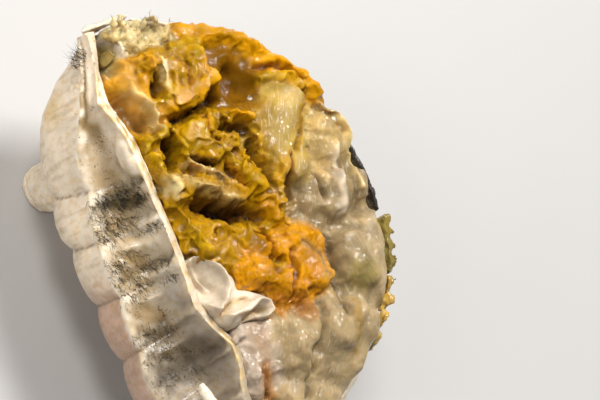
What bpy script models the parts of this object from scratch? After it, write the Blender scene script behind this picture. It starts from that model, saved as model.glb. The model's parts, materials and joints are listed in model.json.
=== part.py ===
"""Opened half body of a cooked Chinese mitten crab, life size.

The crab has been broken in two along its middle plane, with its back shell, belly flap and legs
taken off. The half lies on its five leg sockets with the broken face up.

Axes: +Z points to the crab's middle plane, -X to its belly, +X to its back and +Y to its mouth.
All sizes below are in millimetres. Where a mesh is made they are turned to metres, and the middle
of the whole half's box is moved to the origin.
"""

import math
import random

import bmesh
import bpy
import numpy as np
from mathutils import Vector, noise
from mathutils.geometry import tessellate_polygon

MM = 0.001
GAP = 0.3
BOX_MIDDLE = Vector((0.7, -1.7, 0.0))

# Driving sizes of the half body
FRONT_Y = 30.8
REAR_Y = -33.5
MIDLINE_Z = 30.0
BACK_REACH = 27.8
BACK_CENTRE_Y = -3.0
BACK_ROUNDNESS = 0.6
BACK_ROOT_X = -5.0
SOCKET_HEIGHT = 6.4
BELLY_PLATE = 1.1
BACK_PLATE = 0.9

# Stations where the two ends start to close
NOSE_START = 13.0
TIP_START = 24.0
POINT_START = 21.0
STERN_START = -18.0
TROUGH_NARROWS = 11.0
TROUGH_TIP = 27.0
TROUGH_DEPTH = 2.3

# Where the belly side narrows towards the mouth, and how much slimmer the body and its tip get
NARROW_START = -21.0
NARROW_END = 2.0
SLIM_START = 6.0
SLIM_END = 15.0
SLIM_BODY = 1.1
SLIM_TIP = 1.2

# Station and half length of the wide front plates, the dent in the broken edge and the deep rear trough
WIDE_PLATE = (11.0, 4.5)
FRONT_PLATE = (20.0, 5.0)
FRONT_PLATE_SHARE = 0.6
EDGE_DENT = (20.8, 3.0)
BOWL_HOLLOW = (-18.0, 5.5)

# Places along the outline of one cross-section, counted over its control points
EDGE, FLOOR, RIM, BULGE, FLANK, KEEL, SOLE, BACK_LOW, BACK_HIGH, BACK_TOP, CREST = range(11)
PROFILE_STEP = 0.05

# Where each outline point lies (x, z) at mid body, and how far each change along the body moves it
OUTLINE = {
    "edge": ((-15.0, MIDLINE_Z),
             {"hollow": (4.3, 0.0), "nose": (-0.8, -1.0), "stern": (5.0, -3.0), "narrow": (2.2, 0.0),
              "dent": (-1.3, 0.0), "point": (2.2, 0.0)}),
    "rim": ((-20.5, 22.0),
            {"taper": (3.8, 5.2), "tip": (1.1, 0.0), "stern": (7.5, 2.5), "narrow": (1.1, 0.8),
             "plate": (1.6, 0.5), "point": (2.2, -0.8)}),
    "bulge": ((-20.3, 16.5),
              {"nose": (2.6, 5.0), "tip": (4.6, 4.3), "stern": (8.0, 5.5), "slim": (1.0, 0.0)}),
    "flank": ((-17.8, 11.0),
              {"nose": (2.0, 8.5), "tip": (4.0, 4.0), "stern": (8.0, 9.0), "slim": (1.0, 0.0)}),
    "keel": ((-12.0, SOCKET_HEIGHT + 1.0),
             {"nose": (0.0, 11.0), "tip": (2.5, 3.5), "stern": (5.0, 11.0), "point": (1.7, 0.0)}),
    "sole": ((-4.0, SOCKET_HEIGHT), {"nose": (-2.0, 11.5), "tip": (0.0, 3.0), "stern": (0.0, 11.5)}),
}

# Trough depth shares at the rear hollow and the stern
HOLLOW_DEEPER = 0.3
STERN_SHALLOWER = 0.6

# Back wall: height of its top above the middle plane, fall at the stern, and its bowed rise in degrees
BACK_TOP_Z = -0.5
BACK_TOP_FALL = 3.5
BACK_ANGLES = (35.0, 65.0)
BACK_BOW = 0.55
CREST_LEAN = 0.3
CREST_RISE = 4.0

# Plates: how much thicker they are towards either end
END_THICKENING = 0.6

# Inner faces: the least that a line of one advances along the outer face, and how often it is eased
UNFOLD_LEAST = 0.36
UNFOLD_ROUNDS = 60


def ease(start, end, value):
    """Smooth step from 0 at start to 1 at end."""
    t = min(max((value - start) / (end - start), 0.0), 1.0)
    return t * t * (3.0 - 2.0 * t)


def hump(value, centre, width):
    """Bell curve of height 1."""
    return math.exp(-((value - centre) / width) ** 2)


def mix(a, b, t):
    """Point or number between a and b."""
    return a + (b - a) * t


def rough(x, y, seed):
    """Smooth noise between about -1 and 1."""
    return noise.noise(Vector((x, y, seed)))


def lobes(x, y, size, seed):
    """Rounded lobules: 1 on the middle of a lobule, near 0 in the creases between them."""
    near = noise.voronoi(Vector((x / size, y / size, seed)))[0]
    return 1.0 - min(near[0] / max(near[1], 0.001), 1.0) ** 2


def back_x(y):
    """How far the broken face reaches towards the back at a station."""
    end = FRONT_Y + 0.5 if y > BACK_CENTRE_Y else REAR_Y - 0.5
    t = min((y - BACK_CENTRE_Y) / (end - BACK_CENTRE_Y), 1.0)
    return BACK_ROOT_X + BACK_REACH * (1.0 - t * t) ** BACK_ROUNDNESS


def easings(y):
    """How far each change along the body has come at a station, by name."""
    point = ease(POINT_START, FRONT_Y, y)
    return {
        "nose": ease(NOSE_START, FRONT_Y, y),
        "stern": ease(STERN_START, REAR_Y, y),
        "taper": ease(TROUGH_NARROWS, TROUGH_TIP, y),
        "hollow": hump(y, *BOWL_HOLLOW),
        "tip": ease(TIP_START, FRONT_Y, y),
        "slim": SLIM_BODY * ease(SLIM_START, SLIM_END, y) + SLIM_TIP * point,
        "point": point,
        "narrow": ease(NARROW_START, NARROW_END, y),
        "plate": hump(y, *WIDE_PLATE) + FRONT_PLATE_SHARE * hump(y, *FRONT_PLATE),
        "dent": hump(y, *EDGE_DENT),
    }


def outline_point(name, changes):
    """One point of the outline, moved by the changes along the body."""
    middle, moves = OUTLINE[name]
    point = np.array(middle)
    for change, move in moves.items():
        point = point + changes[change] * np.array(move)
    return point


def control_points(y):
    """Outer points (x, z) of the cross-section, from the broken belly edge round to the back."""
    changes = easings(y)
    nose, stern = changes["nose"], changes["stern"]
    edge, rim, bulge, flank, keel, sole = (outline_point(name, changes) for name in OUTLINE)
    inward = np.array((rim[1] - edge[1], edge[0] - rim[0]))
    inward = inward / np.linalg.norm(inward)
    depth = TROUGH_DEPTH * (1.0 - changes["taper"])
    depth *= (1.0 + HOLLOW_DEEPER * changes["hollow"]) * (1.0 - STERN_SHALLOWER * stern)
    floor = (edge + rim) / 2.0 - inward * depth
    top = np.array((back_x(y), MIDLINE_Z + BACK_TOP_Z - nose - BACK_TOP_FALL * stern))
    rise = top - sole
    points = [edge, floor, rim, bulge, flank, keel, sole]
    for angle in BACK_ANGLES:
        turn = math.radians(angle)
        arc = sole + np.array((rise[0] * math.sin(turn), rise[1] * (1.0 - math.cos(turn))))
        line = sole + rise * (angle / 90.0)
        points.append(mix(line, arc, BACK_BOW))
    points.append(top)
    points.append(top + np.array((CREST_LEAN, CREST_RISE)))
    return np.array(points)


class Section:
    """The outer line of one cross-section with its inward directions, read by place on the outline."""

    stored = {}

    def __init__(self, y):
        points = control_points(y)
        before = np.vstack((2 * points[0] - points[1], points, 2 * points[-1] - points[-2]))
        self.place = np.arange(0.0, len(points) - 1 + PROFILE_STEP / 2, PROFILE_STEP)
        index = np.minimum(self.place.astype(int), len(points) - 2)
        t = (self.place - index)[:, None]
        p0, p1, p2, p3 = (before[index + k] for k in range(4))
        self.line = 0.5 * (2 * p1 + (p2 - p0) * t + (2 * p0 - 5 * p1 + 4 * p2 - p3) * t ** 2
                           + (3 * p1 - p0 - 3 * p2 + p3) * t ** 3)
        along = np.gradient(self.line, axis=0)
        along /= np.linalg.norm(along, axis=1)[:, None]
        self.inward = np.stack((-along[:, 1], along[:, 0]), axis=1)
        nose = ease(NOSE_START, FRONT_Y, y)
        stern = ease(STERN_START, REAR_Y, y)
        self.thicken = 1.0 + END_THICKENING * (nose + stern)

    @classmethod
    def at(cls, y):
        """The section at a station, worked out once."""
        key = round(y, 3)
        if key not in cls.stored:
            cls.stored[key] = cls(key)
        return cls.stored[key]

    def point(self, place, depth=0.0):
        """A point (x, z) at a place on the outline, depth mm below the outer face."""
        deep = depth * self.thicken if depth > 0 else depth
        x = np.interp(place, self.place, self.line[:, 0] + self.inward[:, 0] * deep)
        z = np.interp(place, self.place, self.line[:, 1] + self.inward[:, 1] * deep)
        return float(x), float(z)

    def inner_x(self, z, first, last, depth):
        """x of the inner wall at height z, on the stretch between two places."""
        pick = (self.place >= first) & (self.place <= last)
        wall = self.line[pick] + self.inward[pick] * depth * self.thicken
        if wall[0, 1] > wall[-1, 1]:
            wall = wall[::-1]
        heights = np.maximum.accumulate(wall[:, 1])
        return float(np.interp(z, heights, wall[:, 0]))

    def under_z(self, x):
        """Height of the outer face above the leg sockets at x."""
        pick = (self.place >= BULGE + 0.4) & (self.place <= BACK_LOW + 0.9)
        line = self.line[pick]
        reach = np.maximum.accumulate(line[:, 0])
        return float(np.interp(x, reach, line[:, 1]))


def make_material(name, colour, roughness):
    """A Principled material with the part's own colour."""
    material = bpy.data.materials.new(name)
    material.use_nodes = True
    shader = material.node_tree.nodes["Principled BSDF"]
    shader.inputs["Base Color"].default_value = (*colour, 1.0)
    shader.inputs["Roughness"].default_value = roughness
    shader.inputs["Metallic"].default_value = 0.0
    return material


SHELL = ((0.80, 0.74, 0.66), 0.45)
SOCKET = ((0.82, 0.76, 0.68), 0.4)
GOLD = ((0.72, 0.42, 0.04), 0.3)
OLIVE = ((0.36, 0.22, 0.03), 0.25)
ROE = ((0.86, 0.36, 0.03), 0.35)
PEACH = ((0.78, 0.52, 0.30), 0.35)
MEAT = ((0.78, 0.73, 0.60), 0.35)
GILL = ((0.40, 0.34, 0.14), 0.3)
DARK = ((0.06, 0.05, 0.04), 0.4)
HORN = ((0.62, 0.56, 0.46), 0.5)


def add_object(name, mesh, finish):
    """A named object with its own material, its mesh in metres."""
    obj = bpy.data.objects.new(name, mesh)
    bpy.context.scene.collection.objects.link(obj)
    mesh.materials.append(make_material(name + "_finish", *finish))
    mesh.shade_smooth()
    mesh.set_sharp_from_angle(angle=math.radians(50.0))
    return obj


def largest_body(mesh_data):
    """Keep only the largest closed surface of a bmesh."""
    left = set(mesh_data.faces)
    shells = []
    while left:
        stack = [left.pop()]
        shell = set(stack)
        while stack:
            for edge in stack.pop().edges:
                for face in edge.link_faces:
                    if face in left:
                        left.discard(face)
                        shell.add(face)
                        stack.append(face)
        shells.append(shell)
    shells.sort(key=lambda faces: sum(face.calc_area() for face in faces), reverse=True)
    spare = [face for shell in shells[1:] for face in shell]
    bmesh.ops.delete(mesh_data, geom=spare, context="FACES")


def finish_mesh(name, vertices, faces):
    """A mesh in metres from millimetre points, triangulated, with its faces pointing out."""
    mesh = bpy.data.meshes.new(name)
    work = bmesh.new()
    corners = [work.verts.new((Vector(v) - BOX_MIDDLE) * MM) for v in vertices]
    for face in faces:
        work.faces.new([corners[i] for i in face])
    bmesh.ops.recalc_face_normals(work, faces=work.faces)
    work.to_mesh(mesh)
    work.free()
    return mesh


def unfolded(inner, outer):
    """Ease the inner face's lines, where a tight turn folds them back, until they follow the outer face's.

    Both are arrays of points by place and by station.
    """
    along = np.diff(outer, axis=0)
    least = UNFOLD_LEAST * np.sum(along * along, axis=2)
    for _ in range(UNFOLD_ROUNDS):
        folded = np.sum(np.diff(inner, axis=0) * along, axis=2) < least
        if not folded.any():
            break
        touched = (folded[:-1] | folded[1:])[:, :, None]
        eased = (inner[:-2] + 2.0 * inner[1:-1] + inner[2:]) / 4.0
        inner[1:-1] = np.where(touched, eased, inner[1:-1])
    return inner


def shell_plate(name, places, rear, front, cells, thickness, relief, finish=SHELL):
    """A curved plate of the hull between two places and two lines across it.

    rear and front give the station y of the plate's ends at a place. relief gives how far the outer
    face stands out at (place, y, v), with v from 0 at the rear end to 1 at the front end.
    """
    count_p, count_v = cells
    outer = []
    inner = []
    for i in range(count_p + 1):
        place_share = i / count_p
        for j in range(count_v + 1):
            v = j / count_v
            middle = mix(places[0](0.0), places[1](0.0), place_share)
            y = mix(rear(middle), front(middle), v)
            place = mix(places[0](y), places[1](y), place_share)
            section = Section.at(y)
            x, z = section.point(place, -relief(place, y, v))
            outer.append((x, y, z))
            x, z = section.point(place, thickness)
            inner.append((x, y, z))
    shift = len(outer)
    row = count_v + 1
    grid = (count_p + 1, row, 3)
    inner = unfolded(np.array(inner).reshape(grid), np.array(outer).reshape(grid)).reshape(-1, 3)
    vertices = outer + [tuple(point) for point in inner]
    faces = []
    for i in range(count_p):
        for j in range(count_v):
            a, b, c, d = i * row + j, (i + 1) * row + j, (i + 1) * row + j + 1, i * row + j + 1
            faces += [(a, b, c), (a, c, d)]
            faces += [(a + shift, c + shift, b + shift), (a + shift, d + shift, c + shift)]
    border = [(i * row, (i + 1) * row) for i in range(count_p)]
    border += [(count_p * row + j, count_p * row + j + 1) for j in range(count_v)]
    border += [((i + 1) * row + count_v, i * row + count_v) for i in reversed(range(count_p))]
    border += [(j + 1, j) for j in reversed(range(count_v))]
    for a, b in border:
        faces += [(a, a + shift, b + shift), (a, b + shift, b)]
    return add_object(name, finish_mesh(name, vertices, faces), finish)


# Sternites: where each suture crosses the trough rim, and how it slants to the leg sockets
SUTURES = (REAR_Y, -21.0, -12.0, -4.2, 3.6, 10.6, 25.0, FRONT_Y)
SUTURE_SLANT = (0.0, -3.0, -1.6, 0.0, 1.6, 3.4, 0.0, 0.0)
BELLY_NAMES = ("sternum_rear", "sternite_8", "sternite_7", "sternite_6", "sternite_5", "sternite_4",
               "sternum_tip")


def keel_gap(y):
    """Half the gap at the keel, as a share of the outline."""
    x0, z0 = Section.at(y).point(KEEL - 0.2)
    x1, z1 = Section.at(y).point(KEEL + 0.2)
    return 0.4 * GAP * 0.6 / math.hypot(x1 - x0, z1 - z0)


def suture(index, side):
    """The line of one suture, moved half a gap to one side."""
    ends = index in (0, len(SUTURES) - 1)
    shift = 0.0 if ends else side * GAP * 0.62

    def line(place):
        lateral = (min(place, KEEL) - RIM) / (KEEL - RIM)
        return SUTURES[index] + SUTURE_SLANT[index] * max(lateral, -0.4) + shift

    return line


def belly_relief(index):
    """How far the outer face of one sternite stands out."""

    def relief(place, y, v):
        closed = ease(TROUGH_NARROWS, TROUGH_TIP, y)
        in_trough = ease(EDGE + 0.25, FLOOR, place) * (1.0 - ease(FLOOR + 0.3, RIM, place))
        rim = 0.75 * hump(place, RIM, 0.16) * (1.0 - 0.7 * closed)
        ridge = 1.0 * in_trough * hump(v, 0.80, 0.13) * (1.0 - closed)
        free = 1.0 - ease(FLANK - 0.3, FLANK + 0.6, place)
        swell = 0.45 * math.sin(math.pi * v) * ease(RIM, RIM + 0.4, place) * free
        seam = -0.25 * (hump(v, 0.0, 0.10) + hump(v, 1.0, 0.10)) * ease(RIM - 0.5, RIM, place)
        torn = 0.35 * hump(place, EDGE, 0.35) * (1.0 + rough(y * 0.6, place, 3.0))
        return rim + ridge + swell + seam + torn + 0.12 * rough(y * 0.35, place * 1.5, index) * free

    return relief


def build_belly():
    """The sternites: seven curved plates from the broken middle edge round to the leg sockets."""

    def torn_edge(y):
        return EDGE + 0.06 + 0.06 * rough(y * 0.7, 0.0, 1.0)

    def keel_end(y):
        return KEEL - keel_gap(y)

    for index, name in enumerate(BELLY_NAMES):
        span = SUTURES[index + 1] - SUTURES[index]
        cells = (17, max(4, round(span / 1.8)))
        shell_plate(name, (torn_edge, keel_end), suture(index, 1.0), suture(index + 1, -1.0), cells,
                    BELLY_PLATE, belly_relief(index))


# Back plates: the vaults over the leg chambers, fanned out from the sockets
VAULTS = (REAR_Y, -23.0, -13.0, -4.0, 5.0, 14.0, 22.5, FRONT_Y)
VAULT_FAN = 0.16
VAULT_NAMES = ("back_rear", "back_vault_5", "back_vault_4", "back_vault_3", "back_vault_2",
               "back_vault_1", "cheek_plate")


def vault_line(index, side):
    """The line between two vaults, wider apart near the back."""
    ends = index in (0, len(VAULTS) - 1)
    shift = 0.0 if ends else side * GAP * 0.6
    fan = 0.0 if ends else VAULT_FAN

    def line(place):
        high = ease(KEEL, BACK_TOP, place)
        return (VAULTS[index] + 3.0) * (1.0 - fan * (1.0 - high)) - 3.0 + shift

    return line


def build_back():
    """The thin vaulted plates of the back side, from the leg sockets up to the broken back rim."""

    def keel_start(y):
        return KEEL + keel_gap(y)

    def ragged_top(y):
        lower = 0.32 * ease(NOSE_START - 4.0, FRONT_Y - 6.0, y)
        return BACK_TOP - 0.42 - lower + 0.14 * rough(y * 0.55, 0.0, 7.0)

    def vault(place, y, v):
        rise = ease(SOLE + 0.9, BACK_LOW + 0.8, place)
        swell = 1.3 * math.sin(math.pi * v) * rise
        return swell + 0.12 * rough(y * 0.4, place * 2.0, 5.0) * rise

    for index, name in enumerate(VAULT_NAMES):
        span = VAULTS[index + 1] - VAULTS[index]
        cells = (12, max(4, round(span / 2.1)))
        shell_plate(name, (keel_start, ragged_top), vault_line(index, 1.0), vault_line(index + 1, -1.0),
                    cells, BACK_PLATE, vault)


# Leg sockets: centre (x, y), half widths across and along, and how far each leans out
SOCKETS = (
    ("coxa_claw", (-9.4, 13.4), (5.2, 4.1), (-1.4, 1.5)),
    ("coxa_leg_1", (-5.8, 4.8), (5.2, 3.8), (0.0, 0.8)),
    ("coxa_leg_2", (-3.0, -3.4), (5.1, 3.7), (0.7, 0.1)),
    ("coxa_leg_3", (-2.0, -11.5), (4.9, 3.5), (1.1, -0.8)),
    ("coxa_leg_4", (-2.4, -19.0), (4.4, 3.2), (1.6, -1.7)),
)
SOCKET_SIDES = 16
SOCKET_RINGS = ((0.0, 0.90), (0.16, 1.0), (0.5, 1.04), (0.8, 0.94), (1.0, 0.95))
SOCKET_CAP = 0.5
SOCKET_CLEAR = 0.45
# Flat broken end: rim, groove and the meat plug inside it, as (share of the width, height)
BROKEN_END = ((0.50, 0.0), (0.58, 0.8), (0.70, 0.8), (0.78, 0.0))


def build_sockets():
    """The stubs of the claw and four legs, with flat broken ends on the floor."""
    for index, (name, centre, half, lean) in enumerate(SOCKETS):
        vertices = []

        def ring(level, scale, height, index=index, centre=centre, half=half, lean=lean,
                 vertices=vertices):
            first = len(vertices)
            for k in range(SOCKET_SIDES):
                turn = math.tau * k / SOCKET_SIDES
                wave = 1.0 + 0.03 * math.cos(3 * turn + index) + 0.02 * math.cos(5 * turn)
                top_x = centre[0] + half[0] * scale * wave * math.cos(turn)
                top_y = centre[1] + half[1] * scale * wave * math.sin(turn)
                reach = Section.at(top_y).under_z(top_x) - SOCKET_CLEAR
                x = top_x + lean[0] * (1.0 - level)
                y = top_y + lean[1] * (1.0 - level)
                vertices.append((x, y, level * reach + height))
            return list(range(first, first + SOCKET_SIDES))

        rings = [ring(0.0, scale, height) for scale, height in BROKEN_END]
        rings += [ring(level, scale, 0.0) for level, scale in SOCKET_RINGS]
        rings.append(ring(1.0, SOCKET_CAP, 0.0))
        bottom = len(vertices)
        vertices.append((centre[0] + lean[0], centre[1] + lean[1], 0.0))
        top = len(vertices)
        vertices.append((*centre, Section.at(centre[1]).under_z(centre[0]) - SOCKET_CLEAR))
        faces = []
        for k in range(SOCKET_SIDES):
            n = (k + 1) % SOCKET_SIDES
            faces.append((bottom, rings[0][n], rings[0][k]))
            faces.append((top, rings[-1][k], rings[-1][n]))
            for low, high in zip(rings, rings[1:]):
                faces += [(low[k], low[n], high[n]), (low[k], high[n], high[k])]
        add_object(name, finish_mesh(name, vertices, faces), SOCKET)


class Cell:
    """One mass of flesh or shell on the broken face: an oval place and a relief of its own."""

    def __init__(self, name, centre, half, turn, finish, height=0.0, lump=(0.0, 3.0), bowl=0.0,
                 rim=0.0, step=1.35):
        self.name = name
        self.centre = centre
        self.half = half
        self.turn = math.radians(turn)
        self.finish = finish
        self.height = height
        self.lump = lump
        self.bowl = bowl
        self.rim = rim
        self.step = step

    def distance(self, x, y):
        """Rough distance in mm outside the oval, less than 0 within it."""
        dx = x - self.centre[0]
        dy = y - self.centre[1]
        u = dx * math.cos(self.turn) + dy * math.sin(self.turn)
        v = dy * math.cos(self.turn) - dx * math.sin(self.turn)
        norm = math.hypot(u / self.half[0], v / self.half[1])
        return (norm - 1.0) * min(self.half)

    def relief(self, x, y, inside):
        """Height of the top over the broken face, at a point some mm inside the border."""
        rounded = 1.0 - math.exp(-max(inside, 0.0) / 0.9)
        amount, size = self.lump
        z = self.height * rounded - 0.9 * (1.0 - rounded)
        z += amount * (lobes(x, y, size, len(self.name)) - 0.45) * rounded
        z += 0.3 * rough(x * 0.35, y * 0.35, 9.0) * rounded
        if self.bowl:
            depth = min(-self.distance(x, y) / min(self.half), 1.0)
            z -= self.bowl * ease(0.12, 0.75, depth)
        return z + self.rim * hump(inside, 0.5, 0.6)


# Name, centre (x, y), half widths (x, y), turn in degrees, finish and relief of each mass
CELLS = (
    Cell("mouth_frame", (-12.6, 28.2), (3.4, 3.6), 0, SHELL, 0.6, bowl=3.4, rim=0.9, step=1.0),
    Cell("mouth_base", (-4.6, 28.6), (4.6, 2.8), -14, HORN, -0.8, step=1.1),
    Cell("peach_pocket", (-10.8, 20.2), (3.9, 5.0), 8, PEACH, 1.0, bowl=2.0, rim=0.5),
    Cell("liver_front", (-3.4, 20.4), (3.8, 5.0), 14, GOLD, 2.6, (1.5, 3.2)),
    Cell("liver_rim", (12.8, 18.8), (11.0, 2.4), -47, GOLD, 1.5, (0.8, 2.6)),
    Cell("bile_sac", (5.9, 16.8), (4.9, 3.1), 62, OLIVE, 1.3, bowl=3.4, rim=0.6, step=1.1),
    Cell("liver_side", (-11.0, 12.2), (3.9, 3.6), 0, GOLD, 1.1, (1.6, 2.8)),
    Cell("liver_middle", (-2.6, 11.4), (4.6, 4.2), 20, GOLD, 2.0, (1.5, 3.0)),
    Cell("liver_fold", (-8.4, 5.6), (5.3, 2.2), -16, GOLD, 2.2, (0.9, 3.2)),
    Cell("liver_low", (-6.4, -1.4), (4.9, 4.2), 0, GOLD, 0.3, (1.9, 3.0)),
    Cell("liver_strand", (2.2, 1.6), (4.4, 5.4), -20, GOLD, 1.0, (1.3, 3.0)),
    Cell("muscle_1", (9.2, 7.4), (3.9, 7.2), -28, MEAT, 2.6, (0.4, 3.4)),
    Cell("muscle_2", (16.6, 4.6), (4.6, 4.4), 0, MEAT, 1.5, (0.5, 2.6)),
    Cell("muscle_3", (13.2, -3.0), (5.4, 3.9), 12, MEAT, 2.0, (0.5, 2.8)),
    Cell("endosternum", (-12.1, -6.6), (3.2, 4.7), -8, SHELL, 0.7, bowl=2.6, rim=0.8, step=1.0),
    Cell("roe", (2.6, -10.4), (6.6, 4.9), -6, ROE, 2.0, (1.2, 2.2), step=1.2),
    Cell("sternal_bridge", (-8.8, -13.2), (5.2, 1.1), 8, SHELL, 1.6, rim=0.4, step=1.0),
    Cell("muscle_4", (14.4, -12.6), (6.2, 5.6), 0, MEAT, 1.7, (0.7, 3.6)),
    Cell("muscle_edge", (-8.6, -19.0), (3.4, 4.6), 0, MEAT, 0.6, (0.8, 2.6)),
    Cell("muscle_5", (3.2, -21.0), (7.4, 5.6), 10, MEAT, 1.9, (0.8, 3.6)),
    Cell("muscle_6", (-4.6, -29.2), (6.2, 4.2), 30, MEAT, 1.0, (0.7, 3.2)),
)
WALL_CLEAR = 0.55
FLOOR_CLEAR = 0.35
BORDER_CLEAR = 0.21
SNAP = 0.35
FAR_OUTSIDE = -9.0
END_CLEAR = 0.4
# Shares across within which the flesh follows the hull's curved walls
BELLY_SIDE = 0.25
BACK_SIDE = 0.70
# Flesh that bulges over the broken edge of the back plates, in front of the gills
OVERHANG = 1.7
OVERHANG_LEVELS = (1.5, 2.0)
OVERHANG_START = (2.0, 4.2)
OVERHANG_END = (25.0, 28.5)
BACK_DROP = 2.0
OVERHUNG_DROP = 0.9
# Heights of the walls' turning points below the broken face, at the belly and at the back, then the
# share of the rest where they turn once more
UNDER_FACE = (2.6, 5.3, 6.7, 8.6)
UNDER_RIM = (*OVERHANG_LEVELS, 8.0)
DEEP_SHARE = 0.5
LEAST_STEP = 0.12
FULL_DEPTH = 21.0
WALL_TAPER = 0.16


def border_distance(cell, x, y):
    """How far a point lies inside a cell's border with its neighbours, in mm."""

    def lead(px, py):
        return min(other.distance(px, py) for other in CELLS if other is not cell) - cell.distance(px, py)

    step = 0.05
    here = lead(x, y)
    slope = math.hypot(lead(x + step, y) - here, lead(x, y + step) - here) / step
    return here / max(slope, 0.5)


def face_level(y):
    """Height of the broken face at a station, before any relief."""
    return Section.at(y).point(EDGE)[1]


def flesh_floor(y):
    """Lowest level of the flesh at a station."""
    section = Section.at(y)
    heights = [section.point(place, BACK_PLATE)[1] for place in np.arange(KEEL - 0.3, SOLE + 0.5, 0.1)]
    return max(heights) + FLOOR_CLEAR


class Walls:
    """Inner faces of the hull at one station, curved and as the straight lines that replace them."""

    stored = {}

    def __init__(self, y):
        self.section = Section.at(y)
        self.high = face_level(y)
        self.low = flesh_floor(y)
        self.overhung = ease(*OVERHANG_START, y) * (1.0 - ease(*OVERHANG_END, y))
        self.left = (self.curved(self.high)[0], self.curved(self.low)[0])
        self.right = (self.curved(self.high)[1], self.curved(self.low)[1])

    @classmethod
    def at(cls, y):
        """The walls at a station, worked out once."""
        key = round(y, 3)
        if key not in cls.stored:
            cls.stored[key] = cls(key)
        return cls.stored[key]

    def curved(self, z):
        """x of the belly wall and of the back wall at a height."""
        left = self.section.inner_x(z, EDGE, KEEL, BELLY_PLATE + WALL_CLEAR)
        right = self.section.inner_x(z, SOLE + 0.3, BACK_TOP + 0.5, BACK_PLATE + WALL_CLEAR)
        over_plate = ease(self.high - OVERHANG_LEVELS[1], self.high - OVERHANG_LEVELS[0], z)
        return left, right + OVERHANG * over_plate * self.overhung

    def x(self, u, z):
        """x at a share across and a height: along the curved walls at the sides, straight between."""
        share = (self.high - z) / (self.high - self.low)
        straight_left = mix(*self.left, share)
        straight_right = mix(*self.right, share)
        left, right = self.curved(z)
        x = mix(straight_left, straight_right, u)
        x += (left - straight_left) * max(0.0, 1.0 - u / BELLY_SIDE)
        return x + (right - straight_right) * max(0.0, (u - BACK_SIDE) / (1.0 - BACK_SIDE))

    def levels(self, u):
        """Heights of a wall's turning points at a share across, from the top down to the floor."""
        if BELLY_SIDE <= u <= BACK_SIDE:
            return [self.low]
        drops = UNDER_FACE if u < BELLY_SIDE else UNDER_RIM
        depth = self.high - self.low
        levels = [self.high - drop * min(1.0, depth / FULL_DEPTH) for drop in drops]
        levels.append(mix(levels[-1], self.low, DEEP_SHARE))
        return levels + [self.low]


def plan_lattice(step):
    """A lattice of even triangles over the broken face, as points (x, y) and index triples."""
    nodes = {}
    rows = math.ceil((FRONT_Y - REAR_Y) / (step * 0.866))
    columns = math.ceil(46.0 / step)
    for j in range(rows + 1):
        y = mix(REAR_Y + END_CLEAR, FRONT_Y - END_CLEAR, j / rows)
        for i in range(columns + 1):
            nodes[(i, j)] = (-22.0 + step * (i + 0.5 * (j % 2)), y)
    triangles = []
    for j in range(rows):
        for i in range(columns):
            a, b, c, d = (i, j), (i + 1, j), (i + 1, j + 1), (i, j + 1)
            triangles += [(a, b, c), (a, c, d)] if j % 2 else [(a, b, d), (b, c, d)]
    return nodes, triangles


def keep_largest(triangles):
    """The largest connected patch of a list of index triangles."""
    by_edge = {}
    for number, triangle in enumerate(triangles):
        for k in range(3):
            key = frozenset((triangle[k], triangle[(k + 1) % 3]))
            by_edge.setdefault(key, []).append(number)
    left = set(range(len(triangles)))
    best = []
    while left:
        stack = [left.pop()]
        patch = list(stack)
        while stack:
            triangle = triangles[stack.pop()]
            for k in range(3):
                for number in by_edge[frozenset((triangle[k], triangle[(k + 1) % 3]))]:
                    if number in left:
                        left.discard(number)
                        patch.append(number)
                        stack.append(number)
        if len(patch) > len(best):
            best = patch
    return [triangles[number] for number in sorted(best)]


def snap_to_border(place, level, triangles):
    """Move lattice points that lie close to the border onto it."""
    neighbours = {}
    for triangle in triangles:
        for k in range(3):
            a, b = triangle[k], triangle[(k + 1) % 3]
            neighbours.setdefault(a, set()).add(b)
            neighbours.setdefault(b, set()).add(a)
    snapped = {}
    for key, near in neighbours.items():
        best = SNAP
        for other in sorted(near):
            if (level[key] > 0.0) != (level[other] > 0.0) and FAR_OUTSIDE not in (level[key], level[other]):
                t = level[key] / (level[key] - level[other])
                if t < best:
                    best = t
                    snapped[key] = tuple(mix(place[key][k], place[other][k], t) for k in range(2))
    for key, where in snapped.items():
        place[key] = where
        level[key] = 0.0


def cut_patch(cell):
    """The part of the lattice inside one cell, as points (x, y, inside) and triangles."""
    place, lattice = plan_lattice(cell.step)
    level = {}
    for key, (x, y) in place.items():
        walls = Walls.at(y)
        if cell.distance(x, y) > 5.0 or not walls.left[0] - 3.0 < x < walls.right[0] + 3.0:
            level[key] = FAR_OUTSIDE
        else:
            level[key] = min(border_distance(cell, x, y) - BORDER_CLEAR, x - walls.left[0],
                             walls.right[0] - x)
    snap_to_border(place, level, lattice)
    points = []
    index = {}

    def corner(key):
        if key not in index:
            index[key] = len(points)
            points.append((*place[key], level[key]))
        return index[key]

    def crossing(a, b):
        key = frozenset((a, b))
        if key not in index:
            t = level[a] / (level[a] - level[b])
            index[key] = len(points)
            points.append((mix(place[a][0], place[b][0], t), mix(place[a][1], place[b][1], t), 0.0))
        return index[key]

    triangles = []
    for triangle in lattice:
        if max(level[key] for key in triangle) <= 0.0:
            continue
        ring = []
        for k in range(3):
            a, b = triangle[k], triangle[(k + 1) % 3]
            if level[a] >= 0.0:
                ring.append(corner(a))
            if level[a] * level[b] < 0.0:
                ring.append(crossing(a, b))
        for k in range(1, len(ring) - 1):
            triangles.append((ring[0], ring[k], ring[k + 1]))
    triangles = keep_largest(triangles)
    used = sorted({i for triangle in triangles for i in triangle})
    renumber = {old: new for new, old in enumerate(used)}
    return [points[i] for i in used], [tuple(renumber[i] for i in triangle) for triangle in triangles]


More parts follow.
